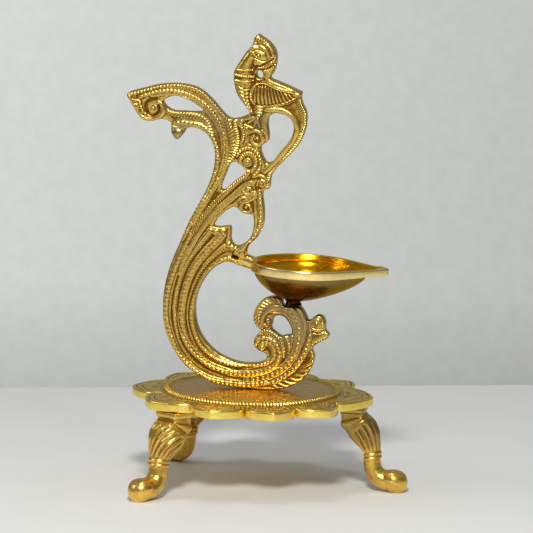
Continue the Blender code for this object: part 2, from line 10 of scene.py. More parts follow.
import bpy
import numpy as np
from mathutils import Matrix, Vector
from mathutils.geometry import tessellate_polygon
from mathutils.kdtree import KDTree


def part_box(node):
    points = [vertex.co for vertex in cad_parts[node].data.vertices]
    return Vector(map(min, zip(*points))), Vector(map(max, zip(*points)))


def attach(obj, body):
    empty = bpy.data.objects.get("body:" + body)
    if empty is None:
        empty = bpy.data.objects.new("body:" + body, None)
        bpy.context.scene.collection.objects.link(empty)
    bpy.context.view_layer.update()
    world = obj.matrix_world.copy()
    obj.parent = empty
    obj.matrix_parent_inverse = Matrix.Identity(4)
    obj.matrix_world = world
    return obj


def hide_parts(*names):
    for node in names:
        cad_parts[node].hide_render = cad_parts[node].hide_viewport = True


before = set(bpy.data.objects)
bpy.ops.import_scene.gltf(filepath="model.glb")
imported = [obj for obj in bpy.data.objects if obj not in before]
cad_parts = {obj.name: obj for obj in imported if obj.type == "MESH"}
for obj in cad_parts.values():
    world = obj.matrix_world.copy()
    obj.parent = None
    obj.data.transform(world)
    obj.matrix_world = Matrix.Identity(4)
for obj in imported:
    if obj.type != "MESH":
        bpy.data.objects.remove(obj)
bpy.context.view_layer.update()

MM = 0.001
AXIS_X = -7.4 * MM  # the plate's axis, seen from the middle of the whole lamp
RING_RISE = 1.2  # of the ring of beads above the disc inside it
PLATE_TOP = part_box("base_plate")[1][2] / MM - RING_RISE
PLATE_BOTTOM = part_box("base_plate")[0][2] / MM
GAP = 0.3

# Camera: a very long lens, in front of the frame and a little to its right, looking slightly down
VIEW_AZIMUTH = 8.0
VIEW_ELEVATION = 9.5
VIEW_ROLL = 1.3
VIEW_DISTANCE = 5000.0
VIEW_WIDTH = 296.936  # of the picture, where the lamp stands
VIEW_AIM = (6.3668, 68.1286)  # from the plate's middle to the picture's, to the right and up
SENSOR_WIDTH = 36.0

# Table
FLOOR_BACK = 304.0  # from the plate's axis to the far edge of the table
FLOOR_TURN = 17.0  # degrees between that edge and the frame
FLOOR_REACH = 2600.0  # to its other edges

# Wall, as linear colour, on the left and on the right; the darker right is painted light falloff
WALL_LEFT = (0.635, 0.660, 0.635)
WALL_RIGHT = (0.505, 0.515, 0.485)

# Soft boxes: name, place and side in metres, power in watts, colour
WARM = (1.0, 0.99, 0.965)
SOFT_BOXES = (
    ("key", (0.12, -1.25, 1.02), 0.20, 19.0, WARM),
    ("overhead", (-0.02, -0.20, 1.30), 0.24, 1.9, WARM),
    ("left", (-1.2, -0.4, 0.9), 0.6, 2.7, (1, 1, 1)),
)
LIT_POINT = (0, 0, 0.12)  # what they all face

# Frame
FRAME_VOXEL = 0.34
FRAME_FACES = 190_000
LEG_VOXEL = 0.32
BRAZE_VOXEL = 0.3
LEG_FACES = 60_000
BLANK_HALF = 3.0  # the flat blank that the relief is worked into
GROUND = 2.95  # half the thickness of the metal between the strands
RIM_WIDE = 0.9  # how far in the edges are softened, and by how much
RIM_DROP = 0.75
THINNEST = 0.6
WING_FEATHERS = 14

# Petal plate; the radii are of the disc, the ring of beads and the petals
TIP_R = 68.0
NOTCH_R = 56.0
CUSP = 1.6  # height of the point on each petal's rounded end
NOTCHES = (27, 57, 86, 118, 160, 204, 242, 273, 303, 333)  # degrees from the spout, front first
EDGE_DROP = 1.6  # of the petals' tips below the disc
PETAL_STEP = 0.8  # from the disc down to the inner end of the petals
DISC_R = 45.2
BEAD_RING_R = 47.8
PETAL_START_R = 51.0
RING_BEADS = 160

# Oil bowl
BOWL_X = 28.5
BOWL_R = 30.5
BOWL_LENGTH = 77.0
BOWL_TOP = 127.9
BOWL_TILT = 1.8
BAND_HIGH = 4.6
BOWL_DEEP = 22.0
NECK_X = 22.0
NECK_Z = 102.9
BODY_PULL = 0.35


# ---------------------------------------------------------------- curves and shells

def unit(values):
    return np.clip(values, 0, 1)


def bell(x, at, wide):
    """A smooth hill of height 1."""
    return np.exp(-((x - at) / wide) ** 2)


def rounded(points, per=6, closed=False):
    """A centripetal Catmull-Rom curve through the points."""
    points = np.array(points, float)
    n = len(points)
    if closed:
        ring = [points[i % n] for i in range(-1, n + 2)]
    else:
        ring = [2 * points[0] - points[1], *points, 2 * points[-1] - points[-2]]
    out = []
    for a, b, c, d in zip(ring, ring[1:], ring[2:], ring[3:]):
        t = np.cumsum([0.0] + [max(np.linalg.norm(q - p), 1e-6) ** 0.5 for p, q in ((a, b), (b, c), (c, d))])
        for s in np.linspace(t[1], t[2], per, endpoint=False):
            p = [(t[i + 1] - s) / (t[i + 1] - t[i]) * u + (s - t[i]) / (t[i + 1] - t[i]) * v
                 for i, (u, v) in enumerate(((a, b), (b, c), (c, d)))]
            q = [(t[i + 2] - s) / (t[i + 2] - t[i]) * p[i] + (s - t[i]) / (t[i + 2] - t[i]) * p[i + 1]
                 for i in range(2)]
            out.append((t[2] - s) / (t[2] - t[1]) * q[0] + (s - t[1]) / (t[2] - t[1]) * q[1])
    if not closed:
        out.append(points[-1])
    return np.array(out)


def even(line, step):
    """The same curve with points a fixed step apart, and the distance along it at each."""
    run = np.r_[0.0, np.cumsum(np.linalg.norm(np.diff(line, axis=0), axis=1))]
    count = max(4, int(round(run[-1] / step)) + 1)
    at = np.linspace(0, run[-1], count)
    return np.stack([np.interp(at, run, line[:, k]) for k in range(line.shape[1])], axis=1), at


def spread(values, share):
    """Values set out evenly from 0 to 1, read at each share."""
    return np.interp(share, np.linspace(0, 1, len(values)), values)


def resampled(points, step, count):
    """A rounded curve as a fixed count of points, the same distance apart."""
    line, _ = even(rounded(points), step)
    at = np.linspace(0, 1, count)
    return np.stack([spread(line[:, k], at) for k in range(2)], axis=1)


def between(first, second, share, count=60):
    """The curve that lies a share of the way from one curve to another."""
    return resampled(first, 1.0, count) * (1 - share) + resampled(second, 1.0, count) * share


def spiral(x, z, outer, inner, start, turns, count=16):
    """Points of a scroll that winds in; start in degrees, turns negative for clockwise."""
    share = np.linspace(0, 1, count)
    r = outer + (inner - outer) * share ** 0.9
    a = math.radians(start) + 2 * math.pi * turns * share
    return np.stack([x + r * np.cos(a), z + r * np.sin(a)], axis=1)


class Shells:
    """Closed shells gathered as one list of corners and faces, in millimetres."""

    def __init__(self):
        self.points, self.faces, self.count = [], [], 0

    def add(self, points, faces):
        self.points.append(np.asarray(points, float).reshape(-1, 3))
        self.faces.extend([tuple(i + self.count for i in face) for face in faces])
        self.count += len(self.points[-1])

    def loft(self, rings):
        """Rings of equal length joined one after another, with both ends capped."""
        rings = np.asarray(rings, float)
        n, m = rings.shape[:2]
        faces = [(i * m + j, i * m + (j + 1) % m, (i + 1) * m + (j + 1) % m, (i + 1) * m + j)
                 for i in range(n - 1) for j in range(m)]
        faces.append(tuple(reversed(range(m))))
        faces.append(tuple(range((n - 1) * m, n * m)))
        self.add(rings.reshape(-1, 3), faces)

    def sheet(self, outline, holes, half):
        """A flat piece in the plane of the frame."""
        loops = [np.asarray(outline), *[np.asarray(h) for h in holes]]
        triangles = tessellate_polygon([[Vector((p[0], p[1], 0)) for p in loop] for loop in loops])
        flat = np.concatenate(loops)
        total = len(flat)
        points = np.concatenate([np.c_[flat[:, 0], np.full(total, y), flat[:, 1]] for y in (-half, half)])
        faces = list(triangles) + [(c + total, b + total, a + total) for a, b, c in triangles]
        start = 0
        for loop in loops:
            n = len(loop)
            faces += [(start + j, start + (j + 1) % n, start + (j + 1) % n + total, start + j + total)
                      for j in range(n)]
            start += n
        self.add(points, faces)

    def ball(self, x, y, z, rx, ry, rz, rows=14, sides=24):
        """An egg shape with its own half size along each axis."""
        rings = []
        for i in range(rows + 1):
            b = math.pi * (0.02 + 0.96 * i / rows)
            rings.append([(x + rx * math.sin(b) * math.cos(a), y + ry * math.sin(b) * math.sin(a),
                           z - rz * math.cos(b)) for a in np.linspace(0, 2 * math.pi, sides, endpoint=False)])
        self.loft(rings)


# ---------------------------------------------------------------- meshes

def placed(points):
    """Points in millimetres from the plate's axis, as metres in the frame of the CAD."""
    return (np.asarray(points, float) + np.array([AXIS_X / MM, 0, 0])) * MM


def mesh_object(name, points, faces, material, smooth=True):
    mesh = bpy.data.meshes.new(name)
    mesh.from_pydata(placed(points).tolist(), [], faces)
    mesh.polygons.foreach_set("use_smooth", [smooth] * len(mesh.polygons))
    mesh.materials.append(material)
    item = bpy.data.objects.new(name, mesh)
    bpy.context.scene.collection.objects.link(item)
    return item


def bake_modifiers(item):
    """Turn the modifiers' result into the mesh itself."""
    graph = bpy.context.evaluated_depsgraph_get()
    graph.update()
    mesh = bpy.data.meshes.new_from_object(item.evaluated_get(graph))
    item.modifiers.clear()
    old = item.data
    item.data = mesh
    bpy.data.meshes.remove(old)


def vertex_values(mesh, what="co"):
    """One row of three per vertex: its place in metres, or its normal."""
    values = np.empty(len(mesh.vertices) * 3)
    mesh.vertices.foreach_get(what, values)
    return values.reshape(-1, 3)


def paint(item, name, values):
    """A number for each vertex, which a material reads by this name."""
    item.data.attributes.new(name, "FLOAT", "POINT").data.foreach_set("value", np.asarray(values, np.float32))


def point_outward(item):
    """Turn the faces over if they enclose a negative volume."""
    mesh = item.data
    mesh.calc_loop_triangles()
    corners = np.empty(len(mesh.loop_triangles) * 3, np.int32)
    mesh.loop_triangles.foreach_get("vertices", corners)
    a, b, c = vertex_values(mesh)[corners.reshape(-1, 3)].transpose(1, 0, 2)
    if np.einsum("ij,ij->i", a, np.cross(b, c)).sum() < 0:
        mesh.flip_normals()


def thinned(item, most_faces):
    """Merge faces where the surface is flattest, down to a number of triangles."""
    item.data.calc_loop_triangles()
    count = len(item.data.loop_triangles)
    if count > most_faces:
        thin = item.modifiers.new("thin", "DECIMATE")
        thin.ratio = most_faces / count
        bake_modifiers(item)
    item.data.polygons.foreach_set("use_smooth", [True] * len(item.data.polygons))


def fused(name, shells, material, voxel, most_faces=10 ** 9):
    """One continuous cast surface from overlapping shells."""
    item = mesh_object(name, np.concatenate(shells.points), shells.faces, material)
    change = item.modifiers.new("fuse", "REMESH")
    change.mode = "VOXEL"
    change.voxel_size = voxel * MM
    change.use_smooth_shade = True
    bake_modifiers(item)
    thinned(item, most_faces)
    if not item.data.materials:
        item.data.materials.append(material)
    return item


def mark_hollows(item, fine=3, broad=30, fine_mm=0.10, broad_mm=0.5):
    """Paint `hollow`: 0.5 on even ground, towards 1 in grooves and towards 0 on raised edges; the brass
    darkens the grooves as patina and painted shade, and brightens the edges as wear and a painted highlight.
    """
    mesh = item.data
    n = len(mesh.vertices)
    points, normals = vertex_values(mesh), vertex_values(mesh, "normal")
    ends = np.empty(len(mesh.edges) * 2, np.int64)
    mesh.edges.foreach_get("vertices", ends)
    a, b = ends.reshape(-1, 2).T
    degree = np.maximum(np.bincount(a, minlength=n) + np.bincount(b, minlength=n), 1)
    moved = points.copy()
    found = []
    for step in range(1, broad + 1):
        total = [np.bincount(a, moved[b, k], n) + np.bincount(b, moved[a, k], n) for k in range(3)]
        moved = 0.4 * moved + 0.6 * np.stack(total, axis=1) / degree[:, None]
        if step in (fine, broad):
            found.append(np.einsum("ij,ij->i", moved - points, normals) / MM)
    value = 0.5 + 0.26 * np.clip(found[0] / fine_mm, -1.2, 1.2)
    value = value + 0.24 * np.clip(found[1] / broad_mm, -1.2, 1.2)
    paint(item, "hollow", unit(value))


# ---------------------------------------------------------------- materials

def node(tree, kind, **values):
    made = tree.nodes.new(kind)
    for key, value in values.items():
        if key in made.inputs:
            made.inputs[key].default_value = value
        else:
            setattr(made, key, value)
    return made


def ramp(tree, source, stops):
    made = tree.nodes.new("ShaderNodeValToRGB")
    bar = made.color_ramp
    while len(bar.elements) > 1:
        bar.elements.remove(bar.elements[-1])
    bar.elements[0].position, bar.elements[0].color = stops[0][0], (*stops[0][1], 1)
    for at, colour in stops[1:]:
        bar.elements.new(at).color = (*colour, 1)
    tree.links.new(source, made.inputs["Fac"])
    return made.outputs["Color"]


def blend(tree, share, one, other, how="MIX"):
    """Colour mix; each of share, one and other may be a socket or a plain value."""
    made = tree.nodes.new("ShaderNodeMix")
    made.data_type = "RGBA"
    made.blend_type = how
    for socket, value in ((made.inputs[0], share), (made.inputs[6], one), (made.inputs[7], other)):
        if isinstance(value, bpy.types.NodeSocket):
            tree.links.new(value, socket)
        elif isinstance(value, tuple):
            socket.default_value = (*value, 1)
        else:
            socket.default_value = value
    return made.outputs[2]


def scaled(tree, source, low_in, high_in, low, high):
    made = tree.nodes.new("ShaderNodeMapRange")
    made.clamp = True
    for key, value in zip((1, 2, 3, 4), (low_in, high_in, low, high)):
        made.inputs[key].default_value = value
    tree.links.new(source, made.inputs[0])
    return made.outputs[0]


def sums(tree, how, one, other):
    made = tree.nodes.new("ShaderNodeMath")
    made.operation = how
    for socket, value in zip(made.inputs, (one, other)):
        if isinstance(value, bpy.types.NodeSocket):
            tree.links.new(value, socket)
        else:
            socket.default_value = value
    return made.outputs[0]


def brass(name, bright, dark, rough=(0.22, 0.42), hollows=True, stain=0.35, grain=0.03,
          lathe=0.0, copper=0.0, tints=(), edge=(1, 1, 1)):
    """Cast or turned brass: brightened by wear and a painted highlight on the high spots, browned by patina
    and painted shade in the hollows, unevenly tarnished.

    stain is how much of it is dulled in patches, grain and lathe are depths of its fine relief in
    millimetres, and a lathe also brings a painted reflection, darker and warmer, on the plate's middle disc;
    copper is how strong the reddish patches are, tints are (painted name, colour) pairs, and edge colours the
    reflection at a glancing angle.
    """
    material = bpy.data.materials.new(name)
    material.use_nodes = True
    tree = material.node_tree
    shader = tree.nodes["Principled BSDF"]
    shader.inputs["Metallic"].default_value = 1.0
    shader.inputs["Specular Tint"].default_value = (*edge, 1)
    where = node(tree, "ShaderNodeTexCoord").outputs["Object"]

    def noise(scale, detail, roughness=0.55):
        made = node(tree, "ShaderNodeTexNoise", Scale=scale, Detail=detail, Roughness=roughness)
        tree.links.new(where, made.inputs["Vector"])
        return made.outputs[0]

    # noise scales are to a metre: patches of about 26 mm, mottling of 4 mm and a grain of 1 mm
    patches = noise(38, 4)
    mottle = noise(260, 5, 0.65)
    duller = tuple(c * 0.72 for c in bright)
    colour = blend(tree, scaled(tree, patches, 0.35, 0.7, 0.0, stain), bright, duller)
    colour = blend(tree, scaled(tree, mottle, 0.45, 0.75, 0.0, stain), colour, dark)
    rough_value = scaled(tree, mottle, 0.3, 0.7, rough[0], rough[1])
    if hollows:
        layer = node(tree, "ShaderNodeAttribute", attribute_name="hollow").outputs["Fac"]
        uneven = sums(tree, "ADD", layer, scaled(tree, mottle, 0.3, 0.7, -0.06, 0.06))
        # patina and painted shade: the grooves are blended towards the dark colour
        deep = scaled(tree, uneven, 0.50, 0.78, 0.0, 1.0)
        colour = blend(tree, deep, colour, dark)
        # wear and painted highlight: the raised edges are blended towards a brighter colour
        rubbed_and_highlit = scaled(tree, uneven, 0.42, 0.2, 0.0, 1.0)
        worn_and_highlit = tuple(min(1.0, c * 1.13 + 0.012) for c in bright)
        colour = blend(tree, sums(tree, "MULTIPLY", rubbed_and_highlit, 0.7), colour, worn_and_highlit)
        rough_value = sums(tree, "ADD", rough_value, sums(tree, "MULTIPLY", deep, 0.2))
        rough_value = sums(tree, "SUBTRACT", rough_value, sums(tree, "MULTIPLY", rubbed_and_highlit, 0.08))
    if copper:
        red = scaled(tree, noise(55, 2), 0.55, 0.7, 0.0, copper)
        colour = blend(tree, red, colour, (0.62, 0.25, 0.09))
    for attribute, tint in tints:
        share = node(tree, "ShaderNodeAttribute", attribute_name=attribute).outputs["Fac"]
        patchy = blend(tree, scaled(tree, patches, 0.35, 0.65, 0, 1), tint, tuple(c * 0.7 for c in tint))
        colour = blend(tree, share, colour, patchy)
    radius = None
    if lathe:
        apart = tree.nodes.new("ShaderNodeSeparateXYZ")
        tree.links.new(where, apart.inputs[0])
        x = sums(tree, "SUBTRACT", apart.outputs[0], AXIS_X)
        radius = sums(tree, "SQRT", sums(tree, "ADD", sums(tree, "MULTIPLY", x, x),
                                         sums(tree, "MULTIPLY", apart.outputs[1], apart.outputs[1])), 0)
        # painted reflection: the polished middle disc is coloured darker and warmer, standing in for the
        # darker surroundings it reflects
        disc = scaled(tree, radius, (DISC_R - 0.3) * MM, (DISC_R + 0.3) * MM, 1.0, 0.0)
        colour = blend(tree, disc, colour, blend(tree, 0.75, colour, (0.60, 0.36, 0.02)))
        rough_value = sums(tree, "SUBTRACT", rough_value, sums(tree, "MULTIPLY", disc, 0.02))
    tree.links.new(colour, shader.inputs["Base Color"])
    tree.links.new(rough_value, shader.inputs["Roughness"])
    bump = node(tree, "ShaderNodeBump", Strength=1.0, Distance=grain * MM)
    tree.links.new(noise(900, 6, 0.7), bump.inputs["Height"])
    last = bump.outputs[0]
    if lathe:
        rings = node(tree, "ShaderNodeTexNoise", Scale=1500, Detail=3)
        rings.noise_dimensions = "1D"
        tree.links.new(radius, rings.inputs["W"])
        turned = node(tree, "ShaderNodeBump", Strength=1.0, Distance=lathe * MM)
        tree.links.new(rings.outputs[0], turned.inputs["Height"])
        tree.links.new(last, turned.inputs["Normal"])
        last = turned.outputs[0]
    tree.links.new(last, shader.inputs["Normal"])
    return material


# ---------------------------------------------------------------- relief of the frame

class Relief:
    """How far each face of the frame stands out from its middle plane, worked stroke by stroke."""

    def __init__(self, spots, ground):
        self.spots, self.ground = spots, ground
        self.high = np.full(len(spots), float(ground))

    def along(self, points, reach, closed=False):
        """Spots near a curve: which ones, how far along it, how far to its left, and its length."""
        line = rounded(points, closed=closed) if len(points) > 2 else np.array(points, float)
        if closed:
            line = np.vstack([line, line[:1]])
        line, run = even(line, 0.5)
        ahead = np.gradient(line, axis=0)
        ahead /= np.linalg.norm(ahead, axis=1)[:, None]
        best = np.full(len(self.spots), reach ** 2)
        s, u = np.zeros(len(self.spots)), np.zeros(len(self.spots))
        found = np.zeros(len(self.spots), bool)
        for start in range(0, len(line) - 1, 24):
            part = slice(start, start + 25)
            low, high = line[part].min(axis=0) - reach, line[part].max(axis=0) + reach
            pick = np.nonzero(((self.spots > low) & (self.spots < high)).all(axis=1))[0]
            if not len(pick):
                continue
            away = self.spots[pick, None] - line[None, part]
            far = (away ** 2).sum(axis=2)
            nearest = far.argmin(axis=1)
            far = far[np.arange(len(pick)), nearest]
            closer = far < best[pick]
            pick, nearest, away = pick[closer], nearest[closer] + start, away[closer, nearest[closer]]
            best[pick] = far[closer]
            s[pick] = run[nearest] + (away * ahead[nearest]).sum(axis=1)
            u[pick] = away[:, 1] * ahead[nearest, 0] - away[:, 0] * ahead[nearest, 1]
            found[pick] = True
        near = np.nonzero(found)[0]
        return near, s[near], u[near], run[-1]

    def rib(self, points, half, top, *patterns, flat=2.4, closed=False):
        """A raised strand with rounded ends; patterns add height as functions of (along, across, half)."""
        half, top = np.atleast_1d(half), np.atleast_1d(top)
        near, s, u, length = self.along(points, half.max() + 0.05, closed)
        share = unit(s / length)
        w, t = spread(half, share), spread(top, share)
        over = 0 if closed else np.maximum(0, np.maximum(-s, s - length))
        x = np.hypot(u, over) / w
        rise = np.sqrt(unit(1 - unit(x) ** flat))
        high = self.ground + (t - self.ground) * rise
        for pattern in patterns:
            high = high + pattern(s, u, w) * rise
        self.high[near] = np.where(x < 1, np.maximum(self.high[near], high), self.high[near])

    def groove(self, points, half, deep, closed=False):
        """A line cut into whatever stands there already."""
        near, s, u, length = self.along(points, half * 2.2, closed)
        over = 0 if closed else np.maximum(0, np.maximum(-s, s - length))
        self.high[near] -= deep * bell(np.hypot(u, over), 0, half)

    def dome(self, x, z, rx, rz, top, flat=2.0):
        """A round or oval knob; a larger flat makes its top flatter and its sides steeper."""
        far = np.hypot((self.spots[:, 0] - x) / rx, (self.spots[:, 1] - z) / rz)
        rise = np.sqrt(unit(1 - unit(far) ** flat))
        high = self.ground + (top - self.ground) * rise
        self.high = np.where(far < 1, np.maximum(self.high, high), self.high)

    def patch(self, one, other, rise, n=140, m=70):
        """A panel between two edges: rise(along, across) is its height."""
        sides = [resampled(edge, 0.3, n) for edge in (one, other)]
        across = np.linspace(0, 1, m)
        grid = (sides[0][:, None] * (1 - across[None, :, None]) + sides[1][:, None] * across[None, :, None])
        high = rise(np.linspace(0, 1, n)[:, None] * np.ones((1, m)), across[None, :] * np.ones((n, 1)))
        low_corner, high_corner = grid.min(axis=(0, 1)) - 0.3, grid.max(axis=(0, 1)) + 0.3
        pick = np.nonzero(((self.spots > low_corner) & (self.spots < high_corner)).all(axis=1))[0]
        tree = KDTree(n * m)
        for i, place in enumerate(grid.reshape(-1, 2)):
            tree.insert((place[0], place[1], 0), i)
        tree.balance()
        flat_high = high.reshape(-1)
        for i in pick:
            _, nearest, gap = tree.find((self.spots[i, 0], self.spots[i, 1], 0))
            if gap < 0.36:
                self.high[i] = max(self.high[i], flat_high[nearest])


def beads(pitch, size, rise, at=0.0):
    """A row of round beads along the strand."""
    def pattern(s, u, w):
        x = s % pitch - pitch / 2
        return rise * np.sqrt(unit(1 - (x ** 2 + (u - at) ** 2) / size ** 2))
    return pattern


def ticks(pitch, deep, lean=0.0, low=-9.0, high=9.0):
    """Cuts across the strand, leaning by so many millimetres to a millimetre, between two offsets."""
    def pattern(s, u, w):
        cut = (0.5 + 0.5 * np.cos(2 * math.pi * (s + lean * u) / pitch)) ** 2
        return -deep * cut * unit((u - low) / 0.3) * unit((high - u) / 0.3)
    return pattern


def border(at, half, rise):
    """A fine ridge along the strand, at a distance from its middle."""
    def pattern(s, u, w):
        return rise * bell(u, at, half)
    return pattern


def valley(at, half, deep):
    return border(at, half, -deep)


def chased(scale, deep):
    """Small punched marks, scattered the same way each time."""
    def pattern(s, u, w):
        mark = np.sin(s * 2.9 / scale + 1.7 * np.sin(u * 2.1 / scale))
        mark = mark * np.cos(u * 3.3 / scale + 1.3 * np.sin(s / scale))
        return -deep * unit(mark) ** 2
    return pattern


SILHOUETTE = (
    (-73.6, 217.6), (-65.3, 220.9), (-55.2, 223.7), (-45, 224.6), (-34, 222.7), (-26, 216.8),
    (-20.4, 210.5), (-16.4, 206.9), (-12.5, 206.3), (-5.5, 209), (-4.4, 210.2), (-8.4, 215.5),
    (-11.6, 219.8), (-13.5, 225.9), (-13.8, 229.4), (-13.7, 233), (-12, 236.3), (-9.4, 240.7),
    (-6.6, 244.8), (-4, 248), (-3.1, 250.7), (-2.8, 252.1), (-0.8, 254), (2.1, 252.3), (5.7, 249.8),
    (8.1, 247), (9.6, 243.8), (9.9, 240.5), (9.6, 237), (8.4, 233.3), (6.6, 229.9), (9.7, 228.5),
    (15.5, 226.3), (22.4, 223.4), (24.3, 222.5), (23.9, 219.6), (25, 216), (27, 211.8), (27.3, 205.8),
    (26, 199.4), (22.9, 192.9), (17.6, 186.5), (11.5, 180), (8.2, 175), (7.2, 168), (3.9, 166.8),
    (4.7, 156), (4.4, 147.8), (1.1, 140.4), (-3.4, 135.6), (-4.8, 131.6), (-4.8, 123.6), (-9, 124.2),
    (-14, 125.9), (-17, 125.5), (-22.1, 122.7), (-28.2, 115.2), (-32.1, 105.7), (-32.7, 96.3),
    (-30.6, 87.1), (-25.3, 79), (-17.9, 73.2), (-9.6, 70), (-2.3, 69.2), (4.9, 70.1), (7.9, 72.3),
    (7.7, 74.9), (2.7, 77.2), (0.6, 80.2), (1.4, 84.4), (4.8, 88.2), (2.4, 89.8), (0.2, 93.7), (0.7, 98.9),
    (4.1, 104.6), (9, 107.2), (13.4, 107.4), (16.2, 105.4), (17, 102.6), (26.4, 102.2), (29.4, 98),
    (31.2, 94.8), (33.8, 96.7), (36.5, 98.4), (39.2, 97.3), (40.5, 94.4), (40.6, 90.2), (42.8, 87.2),
    (41.6, 85.2), (36.6, 82.4), (33.4, 79.2), (34.4, 76.1), (34.7, 72.6), (32.2, 66.3), (27.7, 60.8),
    (20.4, 56.6), (13, 54.95), (-1, 54.9), (-12.4, 55.4), (-21.7, 57.1), (-29.9, 61.3), (-38.3, 67.2),
    (-45.1, 76.1), (-49.6, 86.2), (-51, 98.6), (-50.1, 111.1), (-46.9, 123.7), (-41.9, 136.3), (-37.1, 148),
    (-31.1, 159.6), (-27.2, 167.8), (-24.3, 176.6), (-23.4, 184.5), (-24.3, 190.8), (-28.1, 197),
    (-34.3, 200.3), (-39.6, 200), (-41.2, 197.1), (-45.1, 193.4), (-48.2, 197.5), (-48.7, 202.8),
    (-54, 204.5), (-60.2, 203), (-64.9, 203.9), (-68, 207.7), (-70.9, 212.3),
)
OPENINGS = (
    ((-53.3, 214.5), (-47.2, 217.8), (-40.1, 216.3), (-33.8, 213), (-30.4, 209.9), (-41.5, 209.3),
     (-48.6, 209.8)),
    ((-14.3, 181.6), (-11.5, 182.1), (-5.8, 177.1), (-12.5, 171.1), (-18.2, 166.1), (-19.7, 167),
     (-17.1, 175.4)),
    ((-12.6, 157.2), (-23.5, 146.2), (-20.9, 145.2), (-17.3, 145.7), (-14, 145.8), (-13.6, 142),
     (-13.6, 138.6), (-11.8, 135.6), (-9.8, 134.9), (-6.6, 136.2), (-3.6, 138.6), (-1.6, 142.5),
     (-0.9, 148.5), (-1.6, 152.7), (-3.6, 153.2), (-7.3, 153.9)),
    ((11.8, 96.2), (14.5, 97), (17.3, 96.3), (20, 93.1), (21.8, 88.8), (21.5, 86.6), (18.7, 86.1),
     (16, 85.3), (12.8, 87.4), (10.4, 89.6), (10.9, 93)),
    ((8.6, 210.2), (5.7, 207), (6.4, 195.3), (2, 191.2), (5.1, 182.8), (8.1, 182.7), (12.9, 188.8),
     (18.9, 196.8), (20.3, 203.1), (18.6, 207.5), (14.1, 210)),
    ((-1.2, 232.2), (-0.5, 233.7), (1, 234.1), (2.3, 232.8), (2.3, 230.6), (1, 229.4), (-0.4, 230)),
)

# Strands of the sweep, from the top of the fan round to the scrolls
OUTER_STRAND = (
    (-36.2, 139.4), (-38.2, 134.6), (-40.9, 128.6), (-43.3, 122.4), (-45.6, 116), (-47.3, 109.6),
    (-48.3, 103.1), (-48.6, 98), (-48.4, 93.6), (-47.2, 87.6), (-45.2, 82), (-42.3, 74.9), (-39.4, 70.8),
    (-36.2, 67.5), (-32.6, 64.5), (-28.6, 61.9), (-24.5, 59.9), (-19.6, 58.7), (-14.6, 58.1), (-9, 57.7),
    (-3.3, 57.6), (2.4, 58), (7.4, 59.2),
)
THIN_STRAND = (
    (-25, 143.2), (-27.4, 140), (-30, 136.6), (-32.6, 132.8), (-35.2, 129), (-37.4, 125.2), (-39.2, 121.6),
    (-41, 117), (-42.8, 111.2), (-43.9, 105.6), (-44.3, 100.6), (-44.4, 95.6), (-44, 90.6), (-43.2, 85.6),
    (-41.2, 79), (-38, 73.9), (-34.2, 69.6), (-29.8, 66), (-25.5, 63.6), (-21.2, 62), (-15.8, 60.9),
    (-10.5, 60.4), (-5.1, 60.1),
)
BROAD_STRAND = (
    (-18.6, 141.2), (-21.8, 137), (-25.4, 133), (-29.2, 128.6), (-32.4, 124.4), (-35.2, 119.6),
    (-37.4, 113.8), (-39.1, 107.4), (-40, 101), (-40.4, 94.6), (-39.9, 89.4), (-38.7, 84.7), (-37.2, 80.7),
    (-34.6, 76.9), (-31.6, 73.6), (-28, 70.4), (-23.7, 67.5), (-19, 65.6), (-14.1, 64.1), (-8.8, 63.4),
    (-3.4, 63.3), (1.9, 64), (6.9, 65.4), (11.4, 67.8), (14.2, 71.2), (15.2, 75), (14.4, 78.6), (12, 81.8),
    (8.8, 83.6), (5.4, 83.8), (2.7, 82.3), (1.9, 80),
)
SLOPE_STRAND = (
    (-16.6, 134.6), (-20.1, 131.6), (-23.6, 128.2), (-26.9, 124.6), (-29.9, 120.4), (-32.5, 115.6),
    (-34.6, 110), (-36.2, 104), (-37, 98.6), (-37.1, 93.4), (-36.2, 87.8), (-34.2, 82.2), (-30.8, 76.8),
    (-26.6, 72.4), (-22.1, 69.2), (-17.2, 67), (-12, 65.7), (-7, 65.2), (-2.4, 65.2), (3, 66), (8, 68),
)
INNER_STRAND = (
    (-9.6, 126.6), (-13, 127.8), (-17, 127.2), (-20.8, 124.9), (-24.2, 121.6), (-27.6, 117.2),
    (-30.4, 112.2), (-32.6, 107), (-34.1, 102.4), (-34.8, 98.4), (-34.8, 94.2), (-34, 89.4), (-32.6, 85),
    (-29.6, 78.6), (-26.4, 74.8), (-22.7, 71.7), (-18.9, 69.8), (-14.9, 68.6), (-10.6, 67.9), (-5.3, 67.4),
    (-0.6, 67.7), (3.6, 68.7), (7.6, 69.7), (10.6, 71.6), (12.3, 74.4), (12, 77.6), (10, 80.2), (7.2, 81.2),
    (5, 80.2),
)
DOTTED_STRAND = (
    (-4, 60.2), (1.7, 60.6), (7.5, 61.9), (12.2, 64), (16.6, 66.9), (19.9, 70), (22.5, 73.6), (24.4, 77.4),
    (25.4, 81.5), (25.9, 85.9), (25.8, 89.4), (25, 93.3), (23.8, 96.4), (21.4, 99.6), (18.6, 101.6),
)
BUD_STRAND = (
    (5.4, 57.4), (11.5, 59), (16.1, 61.4), (20, 64.4), (23.1, 67.3), (25.7, 70.5), (27.7, 73.6),
    (29.4, 76.6), (30.7, 80.2), (31.6, 84), (32.6, 88.6),
)
FLANK = ((25.6, 101.4), (27.6, 98.2), (28.8, 94.3), (28.9, 89.6), (28.3, 84.8), (26.9, 80), (24.6, 75.4))
CURL_EDGE = ((16.6, 103.6), (14, 105.6), (10.4, 105.4), (6.4, 103.4), (3.6, 100), (2, 96), (2.4, 92.4),
             (4.4, 90))
CURL_INNER = (
    (20.6, 98.4), (16.8, 100.8), (13.4, 101.2), (9.8, 100.4), (6.9, 98.2), (5.2, 95), (5.2, 92.2),
    (7.2, 90.9), (9.2, 92.2),
)

